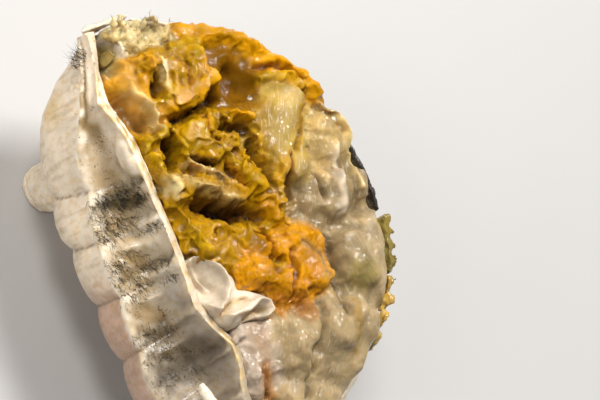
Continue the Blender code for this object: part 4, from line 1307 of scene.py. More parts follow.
    def shape(self, obj: bpy.types.Object) -> None:
        """Raise the folds and lumps, then the relief of each tissue.

        Args:
            obj: The meshed copy.
        """
        points = read_points(obj)
        open_face = ease(self.low, self.high, points[:, 2])
        bent = warp(points, 0.5 * self.ragged, self.form_size, self.seed + 1.0)
        rise = np.zeros(len(points))
        for form in self.forms:
            rise += form.height * form.profile(bent)
        lean = np.ones((len(points), 3))
        for axis, layer in enumerate(self.leans):
            lean[:, axis] = rumple(points, (layer,))
        points = points + lean * (np.clip(rise, self.floor, self.ceiling) * open_face)[:, None]
        write_points(obj, points)
        self.known = spread_out(obj, self.shares(points), self.soften)
        lift = self.relief(points) * open_face
        write_points(obj, points + read_normals(obj) * lift[:, None])

    def paint(self, obj: bpy.types.Object) -> None:
        """Keep colour, kind and strand coordinates on the mesh, with painted light on the crests and painted
        shade in the hollows.

        Args:
            obj: The shaped copy.
        """
        points = read_points(obj)
        colour, texture, turn = self.blend(points)
        looks = dict(zip(TEXTURE_FIELDS, texture.T))
        dense = 1.0 - self.clear_share * looks["clear"]
        deep = hollowness(obj, self.fine_rounds)
        wide = hollowness(obj, self.wide_rounds)
        # Painted light on the crests and painted shade in fine and wide hollows, less where the tissue is
        # clear; both change blue most
        light = self.crest_light * ease(*self.crest_onset, -deep)
        light -= self.hollow_shade * ease(*self.hollow_onset, deep)
        shade = (1.0 + dense * light) * (1.0 - dense * self.hollow_shade * ease(*self.cavity_onset, wide))
        shade_by_channel = shade[:, None] ** np.array(self.shade_powers)
        write_colour(obj, "tint", np.clip(colour * shade_by_channel, 0.0, 1.0))
        write_kind(obj, np.clip(looks["fibre"] * self.fibre_gain, 0.0, 1.0),
                   np.clip(looks["grain"] * self.grain_gain, 0.0, 1.0), looks["clear"])
        write_strands(obj, self.along_strands(points, turn, self.paint_stretch))


@dataclass
class SculptedPiece:
    """A skin over some CAD solids that is sculpted and painted after forms and tissues.

    Above the height top, where it faces less than steepest down, its mesh is twice as fine.
    """

    frame: dict
    name: str
    slot: str
    tissues: dict[str, Tissue]
    forms: tuple[Fold | Lump, ...]
    swell: float = 0.55
    shrink: float = 0.32
    voxel: float = 0.45
    smooth: int = 3
    top: float = 26.4
    steepest: float = -0.3
    low: float = 25.4
    onset: float = 2.6
    ragged: float = 0.9
    coat: float = 1.0

    def build(self) -> None:
        """Make, sculpt, paint and place the skin."""
        nodes = list(self.tissues)
        skin = copy_nodes(self.frame, nodes, self.name)
        close_up(skin, self.swell, self.shrink, self.voxel, self.smooth)
        refine(skin, lambda centre, normal: (centre[:, 2] > self.top) & (normal[:, 2] > self.steepest))
        sculptor = Sculptor(self.frame, self.tissues, self.forms, low=self.low,
                            high=self.low + self.onset, ragged=self.ragged)
        sculptor.shape(skin)
        sculptor.paint(skin)
        finish_piece(skin, WetFinish(self.name + "_finish", coat=self.coat).build(), nodes)


BOWL_TISSUES = {"endosternum": Tissue.ENAMEL, "sternal_bridge": Tissue.ENAMEL}
BOWL_FORMS: tuple[Fold | Lump, ...] = (
    Lump((-11.8, -4.9), (2.2, 4.6), 10.0, -2.2, None),
    Fold(((-13.4, 0.9), (-14.3, -1.6), (-14.5, -4.6), (-13.7, -7.7), (-12.5, -9.7), (-10.9, -11.2),
          (-8.6, -11.1), (-5.9, -10.6), (-4.5, -11.3), (-4.5, -12.5), (-5.6, -13.2)), 0.5, 1.3,
         Tissue.ENAMEL),
    Fold(((-12.6, 0.7), (-10.2, -1.2), (-9.2, -4.1), (-9.3, -6.9), (-10.4, -8.9), (-12.0, -9.7)), 0.42,
         1.0, Tissue.ENAMEL),
    Fold(((-11.8, -10.3), (-9.8, -9.5), (-7.6, -9.7)), 0.5, -1.2, Tissue.TINGED, 0.5),
    Fold(((-8.8, -12.2), (-6.8, -11.9), (-5.8, -12.2)), 0.5, -1.2, Tissue.TINGED, 0.6),
    Fold(((-12.8, -2.2), (-12.1, -6.6)), 0.25, 0.3, None),
    Fold(((-11.8, -1.8), (-11.2, -6.6)), 0.25, 0.3, None),
    Fold(((-10.8, -2.2), (-10.3, -6.2)), 0.25, 0.3, None),
)

CUP_TISSUES = {"mouth_frame": Tissue.CUP}
CUP_FORMS: tuple[Fold | Lump, ...] = (
    Lump((-11.9, 28.3), (2.2, 3.0), -8.0, -1.8, None),
    Fold(((-14.2, 25.6), (-13.7, 28.2), (-12.8, 30.4), (-11.6, 31.5), (-10.4, 31.1), (-8.9, 30.0),
          (-8.5, 28.4)), 0.34, 0.9, Tissue.ENAMEL),
)


# The outer rim of the belly trough and the broken middle edge, as (y, z) along the half
TROUGH_RIM = ((-30.3, 24.4), (-22.3, 22.8), (-16.3, 22.0), (-4.3, 22.6), (5.7, 22.8), (12.7, 23.3),
              (15.7, 23.7), (19.7, 25.2), (23.7, 27.0), (27.7, 27.6), (32.5, 27.2))
MIDDLE_EDGE = ((-30.3, 27.1), (-22.3, 29.0), (-16.3, 30.0), (15.7, 30.0), (23.7, 29.5), (32.5, 29.0))

# How far out the broken middle edge lies: (y, x)
MIDDLE_LINE = ((-30.3, -10.8), (-22.3, -12.7), (-16.3, -11.3), (-10.3, -13.6), (-4.3, -14.1), (1.7, -13.5),
               (15.7, -13.5), (19.7, -14.2), (23.7, -15.0), (27.7, -13.1), (32.5, -12.1))


class ShellTone(Enum):
    """Colours of the cooked shell, with painted shade and a painted sheen among them."""

    CREAM = (0.80, 0.665, 0.50)
    BRIGHT = (0.88, 0.77, 0.61)
    EDGE = (0.66, 0.50, 0.25)
    FILM = (0.44, 0.27, 0.05)
    # Brown stain, also laid along the rim of the trough and into its fold as painted shade
    STAIN_AND_SHADE = (0.27, 0.17, 0.055)
    GREY = (0.38, 0.295, 0.175)
    # Dark grey-purple of the deep rear of the trough: its own dull tone made much darker as painted shade
    MAUVE_AND_SHADE = (0.085, 0.060, 0.036)
    # Painted sheen: pale bluish patches on the dark rear of the trough
    BLOOM = (0.47, 0.41, 0.34)
    # Painted shade: near black, by the rim of the rear trough and under two of the bristle patches
    DARK = (0.030, 0.021, 0.010)
    PINK = (0.42, 0.22, 0.14)
    YELLOW = (0.66, 0.42, 0.08)
    SUTURE = (0.24, 0.15, 0.08)


@dataclass(frozen=True)
class Patch:
    """A coloured place on the shell, by its middle (along, share of the trough) and half widths."""

    tone: ShellTone
    along: float
    share: float
    half_along: float
    half_share: float
    amount: float

    def weight(self, y: np.ndarray, share: np.ndarray) -> np.ndarray:
        """How strongly the patch shows at each point."""
        return self.amount * np.exp(-(((y - self.along) / self.half_along) ** 2)
                                    - ((share - self.share) / self.half_share) ** 2)


# Where each cross ridge of the trough lies along the half, and how far it slants
TROUGH_RIDGES = ((5.3, 0.3), (-1.5, 0.9), (-8.6, 1.2), (-15.6, 1.2), (-22.0, 1.0))

# Tones laid on the trough: stains and bright places, painted shade in its dark rear, by its rim and under
# bristles, and a painted sheen in the rear.
TROUGH_PATCHES = (
    Patch(ShellTone.STAIN_AND_SHADE, 22.0, 0.16, 6.5, 0.20, 0.95),
    Patch(ShellTone.STAIN_AND_SHADE, 12.6, 0.16, 3.6, 0.22, 0.9),
    Patch(ShellTone.GREY, 2.0, 0.45, 13.0, 0.50, 0.8),
    Patch(ShellTone.BRIGHT, 14.8, 0.68, 3.6, 0.30, 0.9),
    Patch(ShellTone.STAIN_AND_SHADE, 11.0, 0.72, 0.5, 0.22, 0.9),
    Patch(ShellTone.DARK, 10.2, 0.28, 1.3, 0.30, 0.75),
    Patch(ShellTone.STAIN_AND_SHADE, 8.6, 0.50, 1.2, 0.40, 0.6),
    Patch(ShellTone.STAIN_AND_SHADE, 6.4, 0.12, 2.4, 0.16, 0.9),
    Patch(ShellTone.BRIGHT, 5.3, 0.62, 0.6, 0.36, 0.9),
    Patch(ShellTone.BRIGHT, 3.2, 0.55, 1.4, 0.24, 0.6),
    Patch(ShellTone.STAIN_AND_SHADE, 0.6, 0.12, 3.0, 0.16, 0.9),
    Patch(ShellTone.DARK, -0.2, 0.30, 0.6, 0.36, 0.6),
    Patch(ShellTone.BRIGHT, -1.6, 0.62, 0.6, 0.34, 0.9),
    Patch(ShellTone.BLOOM, -4.9, 0.48, 2.2, 0.28, 0.9),
    Patch(ShellTone.STAIN_AND_SHADE, -7.0, 0.10, 6.0, 0.12, 0.9),
    Patch(ShellTone.MAUVE_AND_SHADE, -14.0, 0.50, 6.4, 0.52, 0.95),
    Patch(ShellTone.MAUVE_AND_SHADE, -26.0, 0.50, 9.0, 0.52, 0.95),
    Patch(ShellTone.DARK, -9.2, 0.10, 1.6, 0.10, 0.7),
    Patch(ShellTone.DARK, -15.0, 0.12, 3.4, 0.12, 0.7),
    Patch(ShellTone.BLOOM, -9.6, 0.64, 2.6, 0.14, 0.35),
    Patch(ShellTone.BLOOM, -17.0, 0.55, 2.2, 0.18, 0.2),
)


@dataclass
class BellyShell:
    """The fused belly plates, with the trough for the belly flap along the middle.

    Heights and widths are in mm. dome is the middle of the trough's round swelling, as its place along the
    half and its share of the trough, and dome_half are its half widths. fold and channel each hold a depth,
    the place and a width: the fold's along the half, the channel's across the trough as shares of it.
    shoulder is the place and the width along the half of the knobs on the flank.
    """

    frame: dict
    plates: tuple[tuple[str, ...], ...] = (("sternum_tip", "sternite_4"), ("sternite_5",), ("sternite_6",),
                                           ("sternite_7",), ("sternite_8",), ("sternum_rear",))
    voxel: float = 0.30
    swell: float = 0.26
    smooth: int = 3
    groove_depth: float = 0.20
    groove_width: float = 0.5
    knob_height: float = 0.30
    knob_size: float = 0.9
    knob_onset: Point = (0.35, 0.8)
    shoulder: Point = (26.5, 2.4)
    ridge_height: float = 0.55
    ridge_width: float = 0.5
    valley_depth: float = 0.42
    valley_step: float = 1.2
    valley_width: float = 0.65
    dome: Point = (14.6, 0.66)
    dome_half: Point = (3.2, 0.34)
    dome_height: float = 0.75
    fold: Place = (0.7, 11.0, 0.5)
    channel: Place = (0.35, 0.16, 0.12)
    rim_height: float = 0.22
    rim_width: float = 0.05
    torn: tuple[Layer, ...] = ((0.22, 2.0, 7.0), (0.16, 0.8, 2.0))
    torn_fall: float = 0.55
    uneven: Layer = (0.05, 1.6, 5.0)
    streak_stretch: Place = (0.3, 1.0, 0.15)
    streak_size: float = 0.7
    film_line: Point = (0.22, 0.50)
    edge_line: Point = (0.20, 0.45)
    clear: float = 0.15
    edge_clear: float = 0.25
    hollows: Hollows = Hollows(12, 0.02, 0.3, 0.35)
    suture: np.ndarray | None = None

    @property
    def nodes(self) -> tuple[str, ...]:
        """The names of all its plates."""
        return tuple(name for plate in self.plates for name in plate)

    def trough_share(self, points: np.ndarray) -> np.ndarray:
        """Where each point lies between the outer rim of the trough and the broken edge.

        Args:
            points: Places in mm.

        Returns:
            0 at the rim and 1 at the edge, less than 0 on the flank.
        """
        rim = np.interp(points[:, 1], *zip(*TROUGH_RIM))
        edge = np.interp(points[:, 1], *zip(*MIDDLE_EDGE))
        return (points[:, 2] - rim) / (edge - rim)

    def suture_distance(self, points: np.ndarray) -> np.ndarray:
        """How far each point lies from the suture beside its plate.

        Args:
            points: Places in mm.

        Returns:
            How much nearer in mm it lies to its own plate than to the next one.
        """
        best = np.full((len(points), 2), FAR)
        for plate in self.plates:
            corners: list[list[float]] = []
            faces: list[list[int]] = []
            for name in plate:
                node = self.frame["nodes"][name]
                shift = len(corners)
                corners += read_points(node).tolist()
                faces += [[shift + k for k in face.vertices] for face in node.data.polygons]
            tree = BVHTree.FromPolygons(corners, faces)
            reach = np.fromiter((tree.find_nearest(p)[3] for p in points.tolist()), float, len(points))
            nearer = reach < best[:, 0]
            best[:, 1] = np.where(nearer, best[:, 0], np.minimum(best[:, 1], reach))
            best[:, 0] = np.minimum(best[:, 0], reach)
        return best[:, 1] - best[:, 0]

    @staticmethod
    def behind_edge(points: np.ndarray) -> np.ndarray:
        """How far in mm each point lies behind the outer line of the broken middle edge."""
        return points[:, 0] - np.interp(points[:, 1], *zip(*MIDDLE_LINE))

    def build(self) -> None:
        """Make, shape, paint and place the belly shell."""
        shell = copy_nodes(self.frame, self.nodes, "belly_shell")
        close_up(shell, self.swell, self.swell, self.voxel, self.smooth)
        self.shape(shell)
        self.paint(shell)
        finish_piece(shell, ShellFinish("cooked_shell").build(), self.nodes)

    def shape(self, shell: bpy.types.Object) -> None:
        """Cut the sutures, and raise the knobs, the trough's relief and the torn edge.

        Args:
            shell: The meshed plates.
        """
        points = read_points(shell)
        normals = read_normals(shell)
        share = self.trough_share(points)
        outside = ease(0.0, 0.4, -normals[:, 0] + 0.4 * normals[:, 2])
        self.suture = self.suture_distance(points)
        groove = bell(self.suture, self.groove_width) * (1.0 - ease(0.2, 0.6, share))
        lift = rumple(points, (self.uneven,)) - self.groove_depth * groove * outside
        middle, width = self.shoulder
        shoulder = bell(points[:, 1] - middle, width) * ease(-2.2, -0.6, share)
        shoulder *= 1.0 - ease(-0.5, 0.0, share)
        knobs = ease(*self.knob_onset, cells_noise(points, self.knob_size, 3.0))
        lift += self.knob_height * shoulder * outside * knobs
        lift += self.rim_height * bell(share, self.rim_width) * outside
        lift += self.trough_relief(points, share) * ease(0.0, 0.4, -normals[:, 0])
        torn = ease(0.86, 1.0, share)
        lift += torn * rumple(points, self.torn)
        fall = ease(0.3, 1.2, self.behind_edge(points)) * ease(0.2, 0.7, normals[:, 2])
        lift -= self.torn_fall * torn * fall
        write_points(shell, points + normals * lift[:, None])

    def trough_relief(self, points: np.ndarray, share: np.ndarray) -> np.ndarray:
        """Height of the cross ridges, the round swelling and the folds of the trough.

        Args:
            points: Places in mm.
            share: Where they lie in the trough.

        Returns:
            One height in mm for each point.
        """
        y = points[:, 1] + rumple(points, ((0.35, 2.2, 6.0),))
        lift = np.zeros(len(points))
        for line, slope in TROUGH_RIDGES:
            at = y - line - slope * (share - 0.5)
            ridge = self.ridge_height * bell(at, self.ridge_width)
            ridge -= self.valley_depth * bell(at - self.valley_step, self.valley_width)
            lift += ridge * ease(0.05, 0.5, share)
        reach = np.hypot((y - self.dome[0]) / self.dome_half[0], (share - self.dome[1]) / self.dome_half[1])
        lift += self.dome_height * (1.0 - ease(0.5, 1.1, reach))
        depth, place, width = self.fold
        lift -= depth * bell(y - place, width) * ease(0.45, 0.7, share)
        depth, place, width = self.channel
        lift -= depth * bell(share - place, width)
        return lift * ease(0.02, 0.16, share) * (1.0 - ease(0.84, 0.94, share))

    def paint(self, shell: bpy.types.Object) -> None:
        """Keep the shell's colours and kinds on the mesh, with painted shade in its hollows and in the
        trough, and a painted sheen in the trough's rear.

        Args:
            shell: The shaped plates.
        """
        points = read_points(shell)
        normals = read_normals(shell)
        share = self.trough_share(warp(points, 0.35, 1.4, 2.0))
        y = points[:, 1] + rumple(points, ((0.5, 1.2, 4.0),))
        colour = np.tile(np.array(ShellTone.CREAM.value), (len(points), 1))

        def lay(tone: ShellTone, weight: np.ndarray) -> None:
            """Lay a tone over the colours by a weight for each point."""
            colour[:] = mix(colour, tone.value, np.clip(weight, 0.0, 1.0))

        lay(ShellTone.PINK, 0.75 * (1.0 - ease(-4.0, 3.0, y)) * (1.0 - ease(-0.1, 0.05, share)))
        lay(ShellTone.YELLOW, 0.6 * bell(points[:, 1] - 25.1, 2.0) * bell(points[:, 2] - 21.0, 2.0))
        drawn_out = points * np.array(self.streak_stretch)
        streaks = ease(0.1, 0.5, soft_noise(drawn_out, self.streak_size, 3.0))
        lay(ShellTone.STAIN_AND_SHADE, 0.28 * streaks * (1.0 - ease(-0.2, 0.0, share)))
        # Stains, painted shade and painted sheen of the trough
        for patch in TROUGH_PATCHES:
            lay(patch.tone, patch.weight(y, share) * ease(-0.12, 0.02, share))
        front = ease(-20.0, -4.0, points[:, 1])
        lay(ShellTone.BRIGHT, 0.9 * bell(share + 0.02, 0.07) * front)
        lay(ShellTone.CREAM, 0.7 * bell(share + 0.02, 0.06) * (1.0 - front))
        inner = ease(0.2, 0.6, normals[:, 0] - 0.2 * normals[:, 2])
        lay(ShellTone.CREAM, inner * (1.0 - ease(0.8, 0.95, share)))
        behind = self.behind_edge(points) + rumple(points, ((0.2, 1.3, 8.0),))
        lay(ShellTone.FILM, ease(0.88, 0.96, share) * ease(*self.film_line, behind))
        lay(ShellTone.EDGE, 0.95 * ease(0.92, 0.98, share) * (1.0 - ease(*self.edge_line, behind)))
        lay(ShellTone.SUTURE, 0.8 * bell(self.suture, 0.22) * (1.0 - ease(0.0, 0.3, share)))
        write_colour(shell, "tint", colour * self.hollows.shade(shell))
        pitted = ease(-2.2, -0.4, share) * (1.0 - ease(0.0, 0.1, share)) * ease(8.0, 14.0, points[:, 1])
        rugged = ease(0.0, 0.08, share) * (1.0 - ease(0.25, 0.6, share))
        rugged *= ease(-0.2, 0.5, soft_noise(points, 1.8, 9.0))
        write_kind(shell, pitted, rugged, self.clear + self.edge_clear * ease(0.8, 1.0, share))


@dataclass
class PlainShell:
    """A shell piece that follows its CAD solids, with soft edges, swells and its own tones.

    voxel, swell and smooth say how it is meshed anew, and swells are its uneven forms. Its colour goes from
    low_tone at the bottom to tone at the shares of its height in rise, along a border that wanders.
    """

    frame: dict
    name: str
    nodes: tuple[str, ...]
    slot: str
    voxel: float = 0.32
    swell: float = 0.26
    smooth: int = 2
    swells: tuple[Layer, ...] = ((0.10, 1.8, 3.0), (0.05, 0.7, 5.0))
    tone: ShellTone = ShellTone.CREAM
    low_tone: ShellTone = ShellTone.PINK
    rise: Point = (0.1, 0.7)
    border: Layer = (0.2, 2.5, 7.0)
    pitted: float = 0.3
    rugged: float = 0.25
    clear: float = 0.2
    hollows: Hollows = Hollows(12, 0.02, 0.3, 0.4)

    def build(self) -> None:
        """Make, shape, paint and place the piece."""
        piece = copy_nodes(self.frame, self.nodes, self.name)
        close_up(piece, self.swell, self.swell, self.voxel, self.smooth)
        points = read_points(piece)
        lift = rumple(points, self.swells)
        write_points(piece, points + read_normals(piece) * lift[:, None])
        low, high = points[:, 2].min(), points[:, 2].max()
        share = (points[:, 2] - low) / (high - low) + rumple(points, (self.border,))
        colour = mix(self.low_tone.value, self.tone.value, ease(*self.rise, share))
        write_colour(piece, "tint", colour * self.hollows.shade(piece))
        write_kind(piece, self.pitted, self.rugged, self.clear)
        finish_piece(piece, ShellFinish(self.name + "_finish").build(), self.nodes)


@dataclass
class LegStub:
    """The stub of one leg: a shell ring with a rolled lip and a plug of torn meat in its end.

    lips holds the height over the end, the width and the depth of each lip's groove, all in mm. The plug
    ends between two radii and two heights, and its middle is that of the lowest end_slice of the stub.
    """

    frame: dict
    node: str
    voxel: float = 0.26
    lips: tuple[tuple[float, float, float], ...] = ((1.5, 0.45, 0.22), (4.4, 0.5, 0.132))
    uneven: Layer = (0.05, 0.9, 3.0)
    plug: Point = (2.6, 3.0)
    plug_depth: Point = (0.2, 1.1)
    end_slice: float = 0.4
    cloud: float = 2.0
    brightness: float = 1.07
    pitted: float = 0.4
    rugged: float = 0.2
    clear: float = 0.1
    meat_clear: float = 0.5
    hollows: Hollows = Hollows(10, 0.02, 0.2, 0.5)

    def build(self) -> None:
        """Make, shape, paint and place the stub."""
        stub = copy_nodes(self.frame, (self.node,), self.node + "_stub")
        close_up(stub, 0.0, 0.0, self.voxel, 1)
        points = read_points(stub)
        height = points[:, 2] - points[:, 2].min()
        centre = points[height < self.end_slice].mean(axis=0)
        reach = np.hypot(points[:, 0] - centre[0], points[:, 1] - centre[1])
        end = 1.0 - ease(*self.plug_depth, height)
        meat = end * (1.0 - ease(*self.plug, reach))
        grooves = sum(depth * bell(height - place, width) for place, width, depth in self.lips)
        lift = (rumple(points, (self.uneven,)) - grooves * (1.0 - end)) * ease(0.02, 0.3, height)
        write_points(stub, points + read_normals(stub) * lift[:, None])
        cloud = ease(-0.3, 0.4, soft_noise(points, self.cloud, 4.0))
        colour = self.brightness * mix(ShellTone.CREAM.value, ShellTone.BRIGHT.value, cloud)
        colour = mix(colour, Tissue.MEAT.value, meat)
        write_colour(stub, "tint", colour * self.hollows.shade(stub))
        write_kind(stub, self.pitted, self.rugged, self.clear + self.meat_clear * meat)
        finish_piece(stub, ShellFinish(self.node + "_shell").build(), (self.node,))


@dataclass
class WetPiece:
    """A small wet piece that follows its CAD solids: gill leaves, membranes and mouth limbs.

    It runs from tone at the bottom to tip_tone at the top. crumple scales its creases and shift moves it
    clear of its neighbours, both in mm.
    """

    frame: dict
    name: str
    nodes: tuple[str, ...]
    slot: str
    tone: Colour
    tip_tone: Colour
    voxel: float = 0.22
    swell: float = 0.0
    smooth: int = 2
    crumple: float = 0.16
    creases: tuple[Layer, ...] = ((1.0, 1.3, 3.0), (0.5, 0.5, 5.0))
    clear: float = 0.4
    fibre: float = 0.3
    grain: float = 0.3
    strand_rise: float = 0.3
    hollows: Hollows = Hollows(8, 0.0, 0.15, 0.5)
    shift: Place = (0.0, 0.0, 0.0)

    def build(self) -> None:
        """Make, shape, paint and place the piece."""
        piece = copy_nodes(self.frame, self.nodes, self.name)
        close_up(piece, self.swell, self.swell, self.voxel, self.smooth)
        points = read_points(piece)
        lift = self.crumple * rumple(points, self.creases)
        points = points + read_normals(piece) * lift[:, None] + np.array(self.shift)
        write_points(piece, points)
        low, high = points[:, 2].min(), points[:, 2].max()
        share = (points[:, 2] - low) / (high - low) + rumple(points, ((0.25, 1.2, 7.0),))
        colour = mix(self.tone, self.tip_tone, ease(0.2, 0.9, share))
        write_colour(piece, "tint", colour * self.hollows.shade(piece))
        write_kind(piece, self.fibre, self.grain, self.clear)
        write_strands(piece, points * np.array((1.0, 1.0, self.strand_rise)))
        finish_piece(piece, WetFinish(self.name + "_finish").build(), self.nodes)


@dataclass(frozen=True)
class BristlePatch:
    """A patch of bristles on the belly trough.

    It has a middle and half widths, each along the half in mm and as a share of the trough, a number of
    bristles and their length in mm.
    """

    along: float
    share: float
    half_along: float
    half_share: float
    count: int
    length: float


BRISTLE_PATCHES = (
    BristlePatch(10.3, 0.30, 1.4, 0.30, 520, 1.7),
    BristlePatch(8.9, 0.55, 0.8, 0.22, 160, 1.4),
    BristlePatch(6.8, 0.12, 1.6, 0.16, 330, 1.3),
    BristlePatch(4.5, 0.60, 0.6, 0.28, 150, 0.8),
    BristlePatch(1.4, 0.10, 1.8, 0.14, 260, 1.1),
    BristlePatch(-0.6, 0.42, 0.7, 0.30, 240, 1.2),
    BristlePatch(-2.6, 0.10, 1.4, 0.13, 180, 1.0),
    BristlePatch(-2.9, 0.62, 0.5, 0.22, 80, 0.7),
    BristlePatch(-9.4, 0.10, 1.5, 0.11, 170, 1.1),
    BristlePatch(-12.2, 0.12, 1.2, 0.10, 120, 1.0),
    BristlePatch(-15.6, 0.12, 1.1, 0.10, 110, 1.1),
)


class BristleMesh:
    """Collects bent bristles of few faces in one mesh.

    On its map each bristle is a patch, by the place of its root on the skin unrolled round an axis along
    the half, which lies at MAP_AXIS in x and z.
    """

    SIDES = 3
    JOINTS = 3
    TAPER = 0.7
    PATCH = 0.003
    MAP_LENGTH = 72.0
    MAP_AXIS = (-4.0, 18.0)

    def __init__(self) -> None:
        """Start with no bristle."""
        self.points: list[Vector] = []
        self.faces: list[tuple[int, ...]] = []
        self.places: list[tuple[float, float]] = []

    def add(self, root: Vector, way: Vector, bend: Vector, length: float, width: float) -> None:
        """One tapered bristle.

        Args:
            root: Where it grows, in mm.
            way: Direction in which it starts.
            bend: How its tip is carried off, in mm.
            length: Length in mm.
            width: Width in mm at the root.
        """
        turn = way.to_track_quat("Z", "Y")
        base = len(self.points)
        for joint in range(self.JOINTS):
            t = joint / self.JOINTS
            middle = root + way * length * t + bend * t * t
            radius = 0.5 * width * (1.0 - self.TAPER * t)
            for side in range(self.SIDES):
                angle = math.tau * side / self.SIDES
                around = Vector((math.cos(angle), math.sin(angle), 0.0))
                self.points.append(middle + turn @ around * radius)
                self.places.append(self.unrolled(root, side / self.SIDES, t))
        self.points.append(root + way * length + bend)
        self.places.append(self.unrolled(root, 0.5, 1.0))
        for joint in range(self.JOINTS - 1):
            for side in range(self.SIDES):
                a = base + joint * self.SIDES + side
                b = base + joint * self.SIDES + (side + 1) % self.SIDES
                self.faces.append((a, b, b + self.SIDES, a + self.SIDES))
        top = base + (self.JOINTS - 1) * self.SIDES
        for side in range(self.SIDES):
            self.faces.append((top + side, top + (side + 1) % self.SIDES, len(self.points) - 1))
        self.faces.append(tuple(base + side for side in reversed(range(self.SIDES))))

    def unrolled(self, root: Vector, across: float, along: float) -> tuple[float, float]:
        """A bristle's patch on the skin unrolled round the length of the half.

        Args:
            root: Where the bristle grows, in mm.
            across: Share of its girth.
            along: Share of its length.

        Returns:
            The place on the map.
        """
        around = math.atan2(root.x - self.MAP_AXIS[0], root.z - self.MAP_AXIS[1])
        u = 0.5 + root.y / self.MAP_LENGTH + (across - 0.5) * self.PATCH
        v = 0.5 + around / math.tau + (along - 0.5) * self.PATCH
        return u, v

    def finish(self, name: str, material: bpy.types.Material, slot: str) -> None:
        """Make the object with its map and place it.

        Args:
            name: Its name.
            material: Its material.
            slot: The record's material slot; not used.
        """
        mesh = bpy.data.meshes.new(name)
        mesh.from_pydata([point * MM for point in self.points], [], self.faces)
        layer = mesh.uv_layers.new(name="OFBake")
        corners = np.empty(len(mesh.loops), int)
        mesh.loops.foreach_get("vertex_index", corners)
        layer.data.foreach_set("uv", np.array(self.places)[corners].ravel())
        obj = bpy.data.objects.new(name, mesh)
        bpy.context.scene.collection.objects.link(obj)
        finish_piece(obj, material)


NOWHERE = (0.0, 0.0, 0.0)


def scattered(draw: random.Random, middle: Place, spread: Place) -> Vector:
    """A direction drawn round a middle one, with no draw for an axis whose spread is 0."""
    return Vector([draw.gauss(place, wide) if wide else place for place, wide in zip(middle, spread)])


